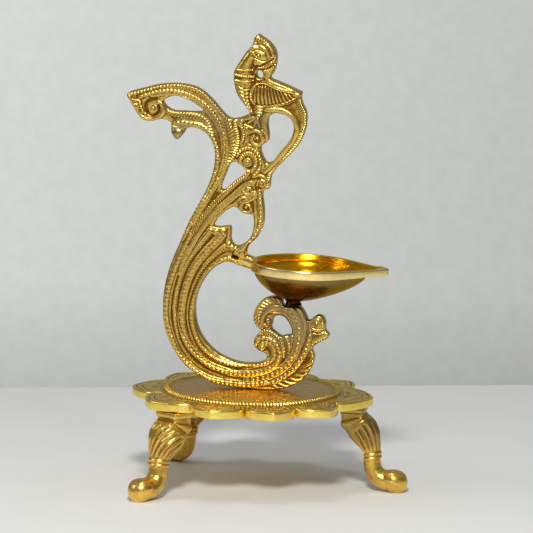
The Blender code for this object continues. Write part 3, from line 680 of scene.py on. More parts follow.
# Strands of the plume and the branches
PLUME_EDGE = (
    (-72, 217.5), (-68, 218.5), (-63.4, 219.9), (-59, 221.3), (-54.5, 222.5), (-49.3, 223.2),
    (-44.2, 223.5), (-39.6, 222.9), (-34.9, 221.5), (-30.2, 219.3), (-25.6, 215.9), (-21.9, 212.3),
    (-19.2, 209.1), (-17, 205.2), (-15.2, 199.6), (-14, 194), (-14.2, 188), (-15.8, 182.4), (-18.6, 175.6),
)
PLUME_BEADS = (
    (-66.4, 216.2), (-61.5, 218.3), (-58.2, 219.4), (-54.5, 220.5), (-50.7, 221), (-46.6, 221),
    (-42.9, 220.3), (-39.1, 219.2), (-35.7, 217.7), (-32.3, 215.7), (-28.9, 213.2), (-25.9, 210.4),
    (-23.7, 207.6), (-21.4, 204), (-19.3, 199.8), (-17.8, 194), (-17.4, 187), (-19, 179), (-22, 171.2),
    (-25.4, 164.8), (-28.8, 158.6), (-32, 152.4), (-35, 146.4),
)
PLUME_THIN = (
    (-59.6, 217), (-56.6, 217.7), (-52.2, 218.4), (-46.9, 218.4), (-42, 217), (-37.1, 215.3), (-33, 213.2),
    (-29.2, 210.4), (-26, 207), (-23.2, 203), (-20.6, 197.6), (-19.7, 191), (-20, 184.6), (-21.8, 177.4),
)
HOOK_UPPER = (
    (-50, 208.4), (-47.4, 207.5), (-43.7, 207.3), (-39.9, 207.1), (-36.2, 206.9), (-32.4, 206.2),
    (-29, 204.2), (-26.6, 200.8), (-24.4, 196),
)
HOOK_LOWER = (
    (-46, 202.4), (-42.6, 203), (-39.6, 202.8), (-36.8, 202.5), (-33.1, 201.9), (-29.7, 200.2),
    (-26.7, 197.3), (-24, 193), (-22.5, 188), (-22.1, 182.6), (-23.2, 176), (-25.9, 168.6), (-28.9, 162),
    (-32.1, 155.2), (-35.2, 148.9), (-38, 143), (-40.4, 137.4),
)
BRANCH_UPPER = (
    (-4.6, 176.8), (-8.2, 173.4), (-11.9, 170), (-16.1, 165.7), (-19.4, 162.2), (-22.4, 158.8),
    (-24.8, 156), (-27.2, 153), (-29.8, 149.6), (-32.4, 146.2), (-34.8, 142.4), (-37, 138.4),
)
BRANCH_LOWER = (
    (-3, 171), (-5.9, 169.2), (-9, 166.3), (-13, 162.4), (-18.1, 157.9), (-22.3, 154), (-25.8, 149.8),
    (-28.4, 146.4), (-31, 142.6), (-33.4, 138.6), (-36, 133.8), (-38.4, 128.8), (-40.4, 123.8), (-42, 118),
)
STEM_LEFT = ((-0.6, 162), (-0.1, 157), (0.4, 151.9), (0, 147.1), (-1.6, 142.7), (-4.4, 138.4), (-6.2, 135.8))
STEM_RIGHT = ((1.9, 166), (2.4, 160), (2.8, 154.2), (2.7, 149.4), (1.5, 145), (-0.6, 140.7), (-3.6, 136.2))
TAIL_EDGE = (
    (22.4, 219.4), (24, 215.4), (25.6, 210.4), (26.1, 205.4), (25, 200), (22, 193.6), (16.8, 187.2),
    (10.8, 180.8), (7.4, 175.6), (5.6, 169.4),
)
TAIL_RIDGE = (
    (3, 212.2), (8, 212.2), (13.4, 212), (17.6, 210), (20.8, 206.4), (22, 201.8), (20.4, 197),
    (16.8, 191.4), (12.2, 185.6), (8, 181), (4.8, 177.6),
)

# Edges of the bird's breast and wing, and where the wing's feathers begin and end
BREAST_FRONT = ((-5, 246.6), (-9.2, 240.7), (-11.9, 236.3), (-13.7, 232.6), (-13.8, 229.4), (-13.5, 225.9),
                (-11.6, 219.8), (-8.4, 215.5), (-4.6, 210.4))
BREAST_BACK = ((-0.6, 240.6), (-3.2, 238.4), (-4, 236), (-3.8, 233.6), (-2.6, 230.6), (-2.4, 228.6),
               (-3.6, 224), (-4, 219), (-3.4, 214.6), (-1.6, 210))
WING_TOP = ((-4, 223.6), (-2.2, 226.4), (1, 227.7), (5, 228.6), (6.6, 229.6), (9.7, 228.3), (15.5, 226.1),
            (22.4, 223.3), (24.2, 222.4))
WING_FOOT = (
    (-4.9, 220.8), (-4.4, 217.4), (-2.4, 214.7), (1.4, 213.7), (6.1, 213.8), (10.8, 214.6), (15.5, 215.8),
    (19.8, 217.6), (23.6, 221.2),
)
FEATHER_ROOTS = ((-3, 222.6), (-1.4, 225.8), (2, 227.2), (5.6, 226.4), (10, 224.4), (15.4, 223), (22, 222.2))
FEATHER_TIPS = ((-3.4, 220), (-2.8, 216.6), (-0.2, 215.2), (4, 214.9), (9.4, 215.6), (15, 217.2), (22, 220.8))

# Where the frame has gone grey-brown: middle (x, z), reach and how much
TARNISHED = (
    (20, 94, 17, 0.75), (-44.8, 197, 6, 0.8), (-24, 206, 11, 0.45), (2.5, 205, 7, 0.5), (-40, 203, 6, 0.4),
)


def work_sweep(r):
    r.rib(OUTER_STRAND, (1.6, 2.4, 2.5, 2.5, 2.5, 2.4, 2.3, 2.0), (3.3, 3.7), beads(2.45, 1.25, 0.30, -0.5),
          border(1.75, 0.35, 0.22), valley(0.95, 0.3, 0.25), flat=3)
    r.rib(THIN_STRAND, (1.9, 1.9, 1.7, 1.3, 1.0, 1.0, 1.0, 1.1), (3.8, 3.6, 3.3, 3.1, 3.1),
          ticks(1.5, 0.4, 0.3, 0.2), flat=2)
    r.rib(BROAD_STRAND, (2.7, 2.7, 2.6, 2.4, 2.3, 2.2, 2.2, 2.3, 2.2, 1.7, 1.4), (3.6, 3.8, 3.9, 3.9, 3.8),
          beads(2.5, 1.25, 0.28), border(1.75, 0.3, 0.2), border(-1.8, 0.3, 0.2), flat=4)
    r.rib(SLOPE_STRAND, (1.9, 1.8, 1.3, 0.8, 0.7, 0.7, 0.7), (3.8, 3.4, 3.1), ticks(1.7, 0.5, 0.2, 0.2),
          flat=2)
    r.rib(INNER_STRAND, (1.2, 1.7, 1.8, 1.7, 1.7, 1.7, 1.7, 1.9, 2.1), (3.3, 3.8, 3.8),
          beads(2.1, 1.05, 0.28, -0.3), flat=2.6)
    r.rib(DOTTED_STRAND, (1.0, 2.2, 2.6, 2.6, 2.6, 2.8, 2.6), (3.4, 3.7, 3.7), beads(2.9, 1.2, 0.30),
          border(2.0, 0.3, 0.25), border(-2.0, 0.3, 0.25), flat=5)
    r.rib(BUD_STRAND, (0.8, 1.6, 1.9, 2.0, 1.8, 1.3), 3.6, beads(2.7, 0.95, 0.34), border(1.4, 0.25, 0.2),
          flat=4)
    r.rib(FLANK, (1.6, 1.5, 1.5, 1.2, 0.7), (3.7, 3.6, 3.3), flat=2)
    for one, other, share in ((OUTER_STRAND, THIN_STRAND, 0.6), (THIN_STRAND, BROAD_STRAND, 0.42),
                              (BROAD_STRAND, SLOPE_STRAND, 0.72), (SLOPE_STRAND, INNER_STRAND, 0.35)):
        r.groove(between(one, other, share)[:-8], 0.55, 0.45)
    # the twisted leaf under the buds, and the flat beside it
    r.rib(((34, 76.6), (33.6, 72.6), (31.4, 68), (28, 63.9), (23.6, 60.6), (18.4, 58.4), (12.6, 57.2)),
          (1.0, 1.9, 2.6, 2.7, 2.2, 1.4), 3.7, ticks(4.2, 1.0, 1.3), flat=2)
    # upper curl: notched outer leaf, smooth inner curl with a small eye
    r.rib(CURL_EDGE, (1.6, 2.4, 2.6, 2.3, 1.6), 3.8, ticks(2.1, 0.4, 0.6), border(1.2, 0.3, 0.2), flat=3)
    r.rib(CURL_INNER, (2.3, 2.2, 1.8, 1.7, 1.5, 1.2), (3.4, 3.7, 3.8), flat=2)
    r.dome(8.4, 93.9, 1.7, 1.7, 4.2)
    r.groove(((10.4, 97.4), (7.8, 96.6), (6.6, 94.4), (7.4, 92.6)), 0.35, 0.5)
    r.rib(((10.4, 98.2), (13.6, 98.4), (17.2, 97.9), (20.4, 95.2), (22.5, 91), (23.4, 87), (22.9, 84)),
          0.8, 3.4)
    # fan of small ribs between the scrolls
    r.rib(((2.9, 86.6), (6, 87.4), (9.2, 86.8), (12.6, 84.6), (15.6, 81.4), (17.4, 77.6), (17.4, 73.6)),
          (1.1, 1.3, 1.3, 1.1, 0.8), 3.4, ticks(1.5, 0.4, 0.3))
    r.rib(((18, 85), (19.8, 82), (20.6, 78.4), (20.1, 74.4), (18.4, 70.8)), (1.0, 1.1, 0.9), 3.4,
          ticks(1.8, 0.3))
    r.rib(((21.9, 85.6), (22, 81.6), (21.6, 77.6)), (0.6, 0.9, 0.6), 3.3)
    r.dome(5.4, 78.8, 2.3, 2.3, 4.3)
    r.groove(((4.2, 78.6), (5.4, 79.9), (6.6, 78.8), (5.6, 77.7)), 0.3, 0.35)
    # the two buds
    r.dome(35.9, 92.6, 4.9, 5.8, 3.9, 3)
    r.groove(((33, 88.8), (32.4, 92.6), (34, 95.6), (37, 96.4), (39, 94.2)), 0.35, 0.4)
    r.groove(((33.6, 91.4), (35, 90.6), (36.6, 90.6), (38.6, 91.2)), 0.35, 0.45)
    r.groove(((33.4, 88.6), (36, 88), (39.6, 89.4)), 0.4, 0.7)
    r.dome(35.7, 93.5, 1.3, 1.3, 4.6)
    r.rib(((33, 82.6), (36.6, 84.4), (39.8, 86.4), (42, 87.2)), (1.3, 1.6, 1.9, 2.2), (3.2, 3.6), flat=2)
    # head of the fan: engraved knobs along the heart-shaped opening
    for x, z, size in ((-22.2, 142.4, 1.9), (-18.2, 142.6, 1.9), (-15, 135.6, 1.8)):
        r.dome(x, z, size, size, 3.9)
        r.groove(((x - size * 0.9, z), (x, z + size * 0.8), (x + size * 0.9, z)), 0.3, 0.35)
        r.groove(((x - 0.7, z - 0.4), (x, z + 0.3), (x + 0.7, z - 0.4)), 0.25, 0.3)
    r.rib(((-14.4, 144.6), (-14.8, 140.6), (-15.6, 138)), (0.9, 1.0, 0.8), 3.3)
    r.rib(((-13, 134.2), (-10.4, 131.6), (-8.8, 128.4)), (1.2, 1.6, 1.0), 3.4, chased(0.7, 0.2))


def work_plume(r):
    r.rib(HOOK_LOWER, (1.4, 1.8, 1.9, 1.9, 1.9, 1.9, 1.9, 1.8, 1.6, 1.0), 3.6, beads(2.4, 1.15, 0.30, 0.2),
          border(-1.3, 0.3, 0.2), flat=3)
    r.rib(PLUME_BEADS, (0.9, 1.7, 1.8, 1.8, 1.8, 1.9, 2.0, 2.0, 1.9, 1.4), (3.3, 3.7),
          beads(2.15, 1.05, 0.30), flat=3.4)
    r.rib(PLUME_EDGE, (0.7, 0.9, 1.0, 1.1, 1.1, 1.3, 1.5, 1.6, 1.3), 3.4, ticks(1.9, 0.5, 0.3))
    r.rib(PLUME_THIN, (0.8, 0.9, 0.9, 0.8, 0.7), 3.3)
    r.rib(((-31, 210.4), (-27.8, 207), (-24.4, 202.8), (-21.9, 197.4), (-21, 191), (-21, 184)),
          (0.5, 0.9, 0.8, 0.5), 2.9)
    r.rib(HOOK_UPPER, (1.1, 1.6, 1.6, 1.4, 0.9), 3.5, ticks(1.75, 0.5, -0.5))
    r.rib(((-45, 204.8), (-42, 205.2), (-38.4, 205.1), (-34.3, 204.5), (-30.1, 203.1), (-27.1, 200.6),
           (-25, 196.6)), (0.6, 0.7, 0.7, 0.5), 3.2)
    r.rib(BRANCH_UPPER, (1.3, 1.7, 1.9, 1.8, 1.7, 1.5), 3.6, ticks(1.5, 0.45, -0.8), flat=2.6)
    r.rib(BRANCH_LOWER, (1.4, 1.9, 2.1, 2.1, 1.9, 1.8, 1.6, 1.1), 3.6, chased(0.75, 0.3),
          border(1.5, 0.3, 0.2), border(-1.5, 0.3, 0.2), flat=3.4)
    for one, other, share in ((PLUME_EDGE, PLUME_BEADS, 0.42), (BRANCH_UPPER, BRANCH_LOWER, 0.46)):
        r.groove(between(one, other, share)[4:-6], 0.5, 0.4)
    # the hanging ball and its holder
    r.dome(-44.8, 196.7, 3.7, 3.5, 4.2)
    r.rib(((-47.6, 200.6), (-45, 200), (-42.2, 200.2), (-39.8, 200.8)), 1.0, 3.6)
    r.dome(-43.6, 203, 2.6, 1.6, 3.6)
    # the volute at the tip, with its pierced-looking hollow
    r.rib(((-72.2, 216.6), (-70.3, 212.6), (-67.9, 208.8), (-65.2, 205.6), (-62.6, 204.3), (-59.6, 204.2),
           (-56.2, 205.2), (-53.7, 207.2), (-53, 210), (-54, 212.8), (-56.4, 213.9), (-59.2, 213.6),
           (-61.1, 212)), (0.8, 1.0, 1.1, 1.3, 1.4, 1.4, 1.3, 1.1), 3.6)
    r.dome(-58.6, 210.4, 2.9, 2.9, 3.8)
    r.groove(((-60.2, 210.2), (-58.8, 211.8), (-57.4, 210.6), (-58.4, 209.2)), 0.35, 0.5)
    r.groove(((-55.6, 212.4), (-55.4, 209.4), (-57.2, 207), (-60, 206.6), (-61.6, 208.4)), 0.5, 0.8)
    r.groove(((-61.8, 208.2), (-63, 210.8), (-62.4, 213.5), (-60.2, 215.2), (-57.2, 215.6)), 0.9, 0.7)
    for x, z in ((-66.2, 212.9), (-65.5, 210.6), (-64.6, 208.4), (-63, 206.7)):
        r.dome(x, z, 1.0, 1.3, 3.7)
    r.rib(((-72, 215.6), (-70, 214.2), (-67.2, 214.2)), (0.6, 1.1, 1.0), 3.3)
    r.rib(((-70, 212.2), (-68.2, 211.8), (-67, 210)), (0.6, 1.1, 0.7), 3.3)


def work_column(r):
    r.rib(((-12.8, 205.4), (-12.3, 199.6), (-11.4, 194.3), (-11.9, 188.9), (-14, 183.4)),
          (1.0, 1.6, 1.7, 1.6, 0.9), 3.5, ticks(1.35, 0.55))
    r.rib(((-9.6, 203), (-8.1, 200), (-7.9, 196.4), (-9, 192.6)), (0.8, 1.1, 1.1, 0.8), 3.7,
          ticks(1.3, 0.4, 0.5))
    r.rib(((-7.2, 202.2), (-6.2, 199), (-6.3, 195.4), (-7.2, 191.8)), (0.6, 0.8, 0.8, 0.6), 3.9)
    r.rib(((-6, 201.4), (-5.2, 198), (-5.4, 194.4), (-4.6, 191.4)), (0.9, 1.2, 1.2, 0.9), 3.5)
    r.dome(-9.6, 203.6, 1.9, 1.7, 3.9)
    r.rib(((-5.1, 198.6), (-3, 200), (0.2, 200), (2.6, 198), (2.9, 194.4), (0.6, 192.2), (-1.9, 193.1),
           (-3.1, 195.6), (-1.9, 197.2)), (0.9, 1.3, 1.4, 1.3, 1.0), 3.9)
    r.rib(((-1.3, 195.4), (0.2, 196.4), (0.6, 194.8)), 0.7, 4.2)
    # collar of beads round the disc
    r.rib(((-10.9, 185.9), (-8.9, 189), (-5.2, 190.3), (-1.5, 189), (1.2, 185.9), (2.1, 182.1), (1.2, 178.2),
           (-1.4, 174.8)), (1.0, 1.3, 1.4, 1.4, 1.4, 1.2), 3.6, beads(1.9, 0.8, 0.4), flat=3)
    r.rib(((-9, 191.2), (-5, 192.2), (-0.6, 190.2), (2.6, 186.4), (3.8, 181.5), (3, 177.7)),
          (0.7, 0.9, 0.9, 0.7), 3.5)
    r.rib(((-8.9, 180.6), (-9.2, 183.4), (-7.6, 186.2), (-4.8, 187.3), (-1.9, 186.2), (-0.6, 183.2),
           (-1, 180), (-2.6, 177.6)), (1.1, 1.4, 1.5, 1.4, 1.2), 3.8, ticks(1.3, 0.3, 0.3))
    r.dome(-5.0, 182.4, 2.9, 2.9, 4.7, 3.2)
    r.groove(((-6.6, 182.4), (-5.0, 184), (-3.4, 182.4), (-5.0, 180.8)), 0.3, 0.45, closed=True)
    r.dome(-5.0, 182.4, 0.9, 0.9, 5.0)
    # floral swirls
    for x, z, size, turn in ((3.2, 170.4, 2.7, 1), (-4.4, 166.6, 2.5, -1), (-0.8, 164.4, 1.8, 1)):
        r.rib(spiral(x, z, size, size * 0.3, 200, -1.2 * turn), (0.7, 0.9, 0.8, 0.6), 3.8)
        r.dome(x, z, 0.8, 0.8, 4.2)
    r.rib(((-1.4, 174), (1.3, 175.2), (4.5, 174.4), (6.4, 172)), (0.7, 1.0, 0.8), 3.6)
    r.rib(((-1, 168.2), (-1.4, 170.4), (-0.2, 172.4)), (0.7, 0.9, 0.6), 3.6)
    r.rib(((-7.6, 168.6), (-6.4, 170), (-4.4, 170.6), (-2.6, 169.4)), (0.6, 0.9, 0.6), 3.6)
    r.rib(((-0.4, 162.8), (-4.2, 160.6), (-7.4, 159.4), (-8.4, 156.9), (-7.2, 154.6), (-4.6, 154),
           (-2.7, 155.8), (-3.3, 158), (-5.2, 158.3)), (1.3, 1.4, 1.3, 1.1, 0.8), 3.8)
    r.dome(-5.2, 156.8, 1.0, 1.0, 4.1)
    r.rib(((-10.4, 163.4), (-8, 165), (-5.6, 164.4), (-3.6, 162.6)), (0.8, 1.2, 1.2, 0.8), 3.6)
    r.rib(((-9.8, 160.6), (-7.6, 162.4), (-5.4, 162.2)), (0.7, 1.0, 0.7), 3.5)
    r.rib(STEM_LEFT, (0.9, 0.95, 0.95, 0.9, 0.9), 3.5)
    r.rib(STEM_RIGHT, (1.3, 1.6, 1.6, 1.6, 1.4), 3.3, beads(2.6, 0.8, 0.3), border(1.1, 0.25, 0.15), flat=3)
    # tail loop: a smooth inner ridge, and an outer edge that is hatched all along
    r.rib(TAIL_EDGE, (1.3, 1.9, 1.9, 1.8, 1.8, 1.7, 1.5, 1.2), 3.3, ticks(1.35, 0.5, 0.5), flat=3)
    r.rib(TAIL_RIDGE, (1.5, 1.9, 1.9, 1.9, 1.8, 1.6), 3.9)
    # the bright smooth bridge to the bowl, with the dark gap under it
    r.rib(((-4.6, 137), (-6.4, 134.2), (-9, 132.6), (-10.8, 131)), (1.5, 1.9, 1.9, 1.3), 4.4)
    r.dome(-7.6, 130.6, 3.6, 3.6, 4.2)
    r.rib(((-11.2, 128.4), (-9.4, 128.2), (-8.2, 127)), 0.1, 3.0)
    r.groove(((-12, 128.9), (-10.4, 128.7), (-8.9, 128.1), (-8.4, 127)), 0.75, 2.6)


def work_bird(r):
    def breast(along, across):
        body = 3.0 + 2.2 * np.sqrt(unit(np.sin(math.pi * np.clip(across, 0.02, 0.98))))
        lower = unit((along - 0.5) / 0.06)
        feather = (0.5 + 0.5 * np.cos(2 * math.pi * (along * 17 + 1.5 * np.abs(across - 0.62)))) ** 1.5
        return body - 0.42 * feather * lower - 0.3 * lower * bell(across, 0.62, 0.06)

    r.patch(BREAST_FRONT, BREAST_BACK, breast)
    # three collars
    r.rib(((-13.3, 234.6), (-9.2, 234), (-5.3, 234.1), (-3, 234.5)), 0.85, 5.4)
    r.rib(((-13.8, 231.8), (-9.9, 230.9), (-6.4, 230.6), (-2.6, 230.7)), 1.2, 5.3, beads(1.3, 0.75, 0.45),
          flat=3)
    r.rib(((-13.6, 228.7), (-9.9, 227.9), (-6.3, 227.6), (-2.6, 228.6)), 0.8, 5.4)
    # head
    r.dome(2.6, 242.6, 7.6, 8.2, 5.0, 2.6)
    r.dome(-2.6, 245.2, 4.6, 4.4, 4.9, 2.6)
    r.rib(((-1.6, 251.4), (-0.6, 252.6)), 1.6, 3.6)
    r.rib(((-0.8, 251.6), (2.2, 250.6), (5.2, 248.2), (7.4, 245.2), (8.8, 241.8)), (1.5, 1.7, 1.6, 1.2), 4.3,
          ticks(1.5, 0.5), flat=3)
    r.groove(((-2.2, 248.6), (0.6, 249), (3.4, 248), (5.8, 245.6), (7.2, 242.4)), 0.45, 0.8)
    r.groove(((-4, 244.9), (-1.6, 246), (1.4, 245.6), (3.8, 244), (4.8, 241.8)), 0.35, 0.55)
    r.groove(((-3.4, 242.6), (-1.2, 241), (1.6, 239.8), (4, 239.9), (5.6, 241.4)), 0.35, 0.55)
    r.rib(((-2.4, 242.8), (-0.2, 244.1), (1.9, 242.8), (-0.2, 241.4)), 0.35, 5.2, closed=True)
    r.dome(-0.2, 242.7, 1.0, 1.0, 5.5)
    r.groove(((9.8, 242.4), (6.6, 240), (3.2, 237.9), (0.1, 236.4), (-1.6, 236.4)), 0.5, 1.0)
    # beak folded back to the shoulder: two notched bands
    r.rib(((-0.4, 235.5), (3, 236), (6.2, 237.8), (8.9, 240.2)), (0.8, 1.2, 1.2, 0.8), 4.7, ticks(1.3, 0.45),
          flat=3)
    r.groove(((9.6, 238.8), (7.2, 236.5), (4.1, 235), (1, 234.6)), 0.4, 0.7)
    r.rib(((2.8, 233.7), (5.6, 234), (8.3, 236.2)), (1.0, 1.5, 1.0), 4.2, ticks(1.4, 0.2))
    r.rib(((5.4, 233), (5.2, 230.8), (5.6, 229)), (2.2, 2.0, 2.0), 4.0)

    def wing(along, across):
        crown = 3.6 + 1.9 * np.sqrt(unit(np.sin(math.pi * np.clip(across, 0.03, 0.97))))
        crown = crown * np.clip(0.8 + np.minimum(along, 1 - along) / 0.12, 0.8, 1) - 0.5 * along
        crest = 0.4 * bell(across, 0.13, 0.03)
        return crown - crest - 0.3 * unit((across - 0.93) / 0.03)

    r.patch(WING_TOP, WING_FOOT, wing)
    # the feathers hang from a beaded row and fan out towards the tail
    roots, _ = even(rounded(FEATHER_ROOTS), 0.3)
    tips, _ = even(rounded(FEATHER_TIPS), 0.3)
    for number in range(1, WING_FEATHERS):
        share = number / WING_FEATHERS
        root, tip = roots[round(0.86 * share * (len(roots) - 1))], tips[round(share * (len(tips) - 1))]
        bulge = 0.9 - 1.6 * share
        r.groove((root, ((root[0] + tip[0]) / 2 - bulge, (root[1] + tip[1]) / 2), tip), 0.40, 0.95)
    r.rib(roots[::8], 0.75, 5.3, beads(1.25, 0.6, 0.5), flat=3)
    r.groove(tips[::8], 0.35, 0.6)
    r.rib(((-1, 226.6), (-2.9, 223.8), (-3.9, 220.7), (-3.5, 217.7), (-1.6, 215.2)), (1.0, 1.2, 1.2, 0.9),
          5.5, ticks(1.5, 0.5), flat=3)
    # feathered legs, and the leaf they stand on
    r.rib(((0.8, 213), (0.6, 210.6), (0.2, 207.6)), (3.2, 2.8, 1.0), 4.4, ticks(1.7, 0.5))
    r.rib(((3.6, 212.6), (3.2, 208.6), (3, 203)), (1.2, 1.7, 1.6), 3.0)
    for tip in ((-7.8, 206.2), (-5, 204.4), (-1.8, 203), (1.2, 202.6)):
        r.rib(((-0.4, 208), ((tip[0] - 0.4) / 2, (tip[1] + 208) / 2 + 0.3), tip), (0.5, 1.2, 0.8), 4.0)
    r.groove(((-7.6, 204.4), (-3.8, 203), (-0.6, 201.6), (2.8, 201.2)), 0.4, 0.6)
    r.dome(-9.2, 205.2, 1.4, 1.4, 3.8)


def peacock_frame(material):
    """The pierced casting: a flat blank whose two faces are pushed out by the relief."""
    s = Shells()
    s.sheet(rounded(SILHOUETTE, 3, closed=True), [rounded(h, 3, closed=True) for h in OPENINGS], BLANK_HALF)
    item = fused("lamp_frame", s, material, FRAME_VOXEL * (1))
    mesh = item.data
    points = vertex_values(mesh)
    flat = points[:, [0, 2]] / MM - np.array([AXIS_X / MM, 0])
    relief = Relief(flat, GROUND)
    work_sweep(relief)
    work_plume(relief)
    work_column(relief)
    work_bird(relief)
    for loop in (SILHOUETTE, *OPENINGS):  # soften the rims
        near, _, u, _ = relief.along(loop, RIM_WIDE, closed=True)
        relief.high[near] -= RIM_DROP * (1 - np.sqrt(unit(1 - (1 - np.abs(u) / RIM_WIDE) ** 2)))
    uneven = 0.07 * np.sin(flat[:, 0] * 0.9 + 2 * np.sin(flat[:, 1] * 0.31)) * np.sin(flat[:, 1] * 0.83 + 1.1)
    points[:, 1] *= np.maximum(relief.high + uneven, THINNEST) / BLANK_HALF
    mesh.vertices.foreach_set("co", points.reshape(-1))
    mesh.update()
    thinned(item, FRAME_FACES)
    points = vertex_values(item.data)
    x, z = points[:, 0] / MM - AXIS_X / MM, points[:, 2] / MM
    tarnish = np.zeros(len(x))
    for at_x, at_z, reach, share in TARNISHED:
        tarnish = np.maximum(tarnish, share * np.exp(-(np.hypot(x - at_x, z - at_z) / reach) ** 4))
    paint(item, "tarnish", tarnish)
    return item


# ---------------------------------------------------------------- the petal plate

def petal_place(angle):
    """Where an angle lies in its petal, from -1 to 1 with 0 at the tip, and half the petal's angle."""
    edges = np.array([*NOTCHES, NOTCHES[0] + 360], float)
    turned = np.where(angle < edges[0], angle + 360, angle)
    number = np.clip(np.searchsorted(edges, turned, side="right") - 1, 0, len(NOTCHES) - 1)
    start, end = edges[number], edges[number + 1]
    return 2 * (turned - start) / (end - start) - 1, (end - start) / 2


def petal_radius(t):
    """Radius of the plate's edge across a petal, with a blunt point in the middle."""
    cusp = CUSP * unit(1 - np.abs(t) / 0.45) ** 1.3
    return NOTCH_R + (TIP_R - CUSP - NOTCH_R) * (1 - np.abs(t) ** 1.9) ** 0.75 + cusp


def petal_plate(material):
    """The whole plate as one loft of rings, from the middle of the top over the rim to the underside."""
    columns = RING_BEADS * 6
    degrees = np.arange(columns) * 360 / columns
    t, half_angle = petal_place(degrees)
    outline = petal_radius(t)
    turn = -np.radians(degrees)

    def step(r, at, wide=0.2):
        return 1 / (1 + np.exp((at - r) / wide))

    def relief(r):
        """Height of the top face above the middle disc, for one radius per column."""
        lean = 2 * math.pi * (degrees / 360 * RING_BEADS + (r - BEAD_RING_R) * 0.22)
        bead = unit(1 - ((r - BEAD_RING_R) / 1.6) ** 2) ** 0.5
        high = 0.25 * step(r, DISC_R + 0.3) + bead * (0.62 + 0.33 * np.cos(lean))
        past_ring = step(r, 49.15 + 0.3 * np.cos(lean))
        high -= (0.25 + PETAL_STEP) * past_ring + 0.2 * bell(r, 49.4, 0.3)
        high -= 0.3 * bell(r, PETAL_START_R, 0.35)
        slope = (r - 50.0) / np.maximum(outline - 50.0, 1)
        high -= (EDGE_DROP - PETAL_STEP) * unit(slope) ** 1.1
        inset = outline - r
        side = half_angle * (1 - np.abs(t)) * math.pi / 180 * r  # how far the notch's ray lies to the side
        high -= 0.5 * bell(side, 0, 0.7) * unit((r - 50.5) / 3)
        wall = np.minimum(inset, side)
        outer = (r > 51.5)
        for place, deep, wide in ((2.4, 0.5, 0.5), (5.6, 0.45, 0.45)):
            high -= deep * bell(wall, place, wide) * outer
        high += 0.25 * bell(wall, 1.1, 0.5) * outer
        # an engraved flower near the ring and a small curl on each side of it
        x, y = t * half_angle * math.pi / 180 * r, r
        rho, psi = np.hypot(x, y - 54.6), np.arctan2(y - 54.6, x)
        flower = bell(rho, 1.7 * (1 + 0.3 * np.cos(5 * psi)), 0.32) + bell(rho, 0, 0.5)
        for sign in (-1, 1):
            for place, reach in ((4.6, 54.0), (8.0, 53.6)):
                curl = np.hypot(x - sign * place, y - reach)
                flower = flower + bell(curl, 1.3, 0.28) + bell(curl, 0.3, 0.28)
            vein = np.abs(x - sign * (y - 56.6) * 0.6)
            flower = flower + 0.8 * bell(vein, 0, 0.3) * (y > 57.0) * (y < 60.5)
        high -= 0.6 * unit(flower) * (r > 51.3) * (wall > 2.9)
        return high

    rows = []
    for r in [*np.arange(2.0, 44.0, 6.0), *np.arange(44.4, PETAL_START_R + 0.01, 0.26)]:
        radius = np.full(columns, r)
        rows.append((radius, PLATE_TOP + relief(radius)))
    for share in np.linspace(0, 1, 42)[1:]:
        radius = PETAL_START_R + (outline - 0.5 - PETAL_START_R) * share
        rows.append((radius, PLATE_TOP + relief(radius)))
    rim = PLATE_TOP - EDGE_DROP
    thick = rim - PLATE_BOTTOM
    wobble = 0.10 * np.sin(np.radians(degrees) * 7 + 1.3) + 0.08 * np.sin(np.radians(degrees) * 17)
    for inset, drop in ((0.42, 0.02), (0.12, 0.26), (0.03, 0.45), (0.0, 0.8), (0.0, thick * 0.5),
                        (0.0, thick - 0.8), (0.05, thick - 0.4), (0.3, thick - 0.1), (0.6, thick),
                        (6.0, thick)):
        rows.append((outline - inset + wobble * (1 if inset < 1 else 0), np.full(columns, rim - drop)))
    for r in (40.0, 20.0, 2.0):
        rows.append((np.full(columns, r), np.full(columns, PLATE_BOTTOM)))
    rings = [np.stack([r * np.cos(turn), r * np.sin(turn), z], axis=1) for r, z in rows]
    s = Shells()
    s.loft(rings)
    item = mesh_object("petal_plate", np.concatenate(s.points), s.faces, material)
    point_outward(item)
    return item


# ---------------------------------------------------------------- the legs

# Place round the plate in degrees, how fast the flutes wind round the knee in radians to a millimetre,
# stoutness, and how much darker brown the knee and the block are tinted
LEG_SHAPES = {"leg_right": (0.0, 0.12, 1.0, 0.8), "leg_front_left": (-130.0, 0.85, 1.1, 0.1),
              "leg_rear_left": (130.0, 0.85, 1.04, 0.8)}
LEG_FLUTES = 15
# Down the leg: middle of the section (radius, height), half depth, half width, squareness, channel depth
LEG_STATIONS = (
    (57.2, 47.9, 7.4, 8.8, 7, 0.0), (57.2, 45.7, 7.5, 8.9, 7, 0.0), (57.2, 45.0, 7.4, 8.8, 7, 0.1),
    (57.3, 44.5, 6.6, 8.0, 7, 0.2), (57.4, 43.4, 6.5, 7.9, 7, 0.3), (57.6, 41.5, 6.6, 7.9, 7, 0.35),
    (57.8, 41.0, 7.5, 8.8, 6, 0.35), (58.1, 40.1, 7.8, 9.0, 6, 0.35), (58.4, 39.2, 7.4, 8.6, 5, 0.38),
    (58.9, 38.6, 7.0, 8.1, 4, 0.4), (60.2, 37.2, 8.0, 8.5, 3, 0.4), (62.4, 34.2, 8.9, 8.7, 2.6, 0.42),
    (64.8, 30.2, 8.2, 8.0, 2.4, 0.42), (66.6, 26.0, 6.6, 6.6, 2.2, 0.4), (67.3, 24.0, 5.9, 6.0, 2, 0.35),
    (67.8, 22.0, 5.2, 5.4, 2, 0.2), (68.3, 16.8, 4.8, 5.0, 2, 0.0), (69.1, 12.2, 4.9, 5.1, 2, 0.0),
    (71.4, 8.6, 5.2, 5.5, 2, 0.0), (75.0, 6.6, 5.5, 6.0, 2, 0.0), (79.0, 6.2, 5.7, 6.4, 2, 0.0),
)

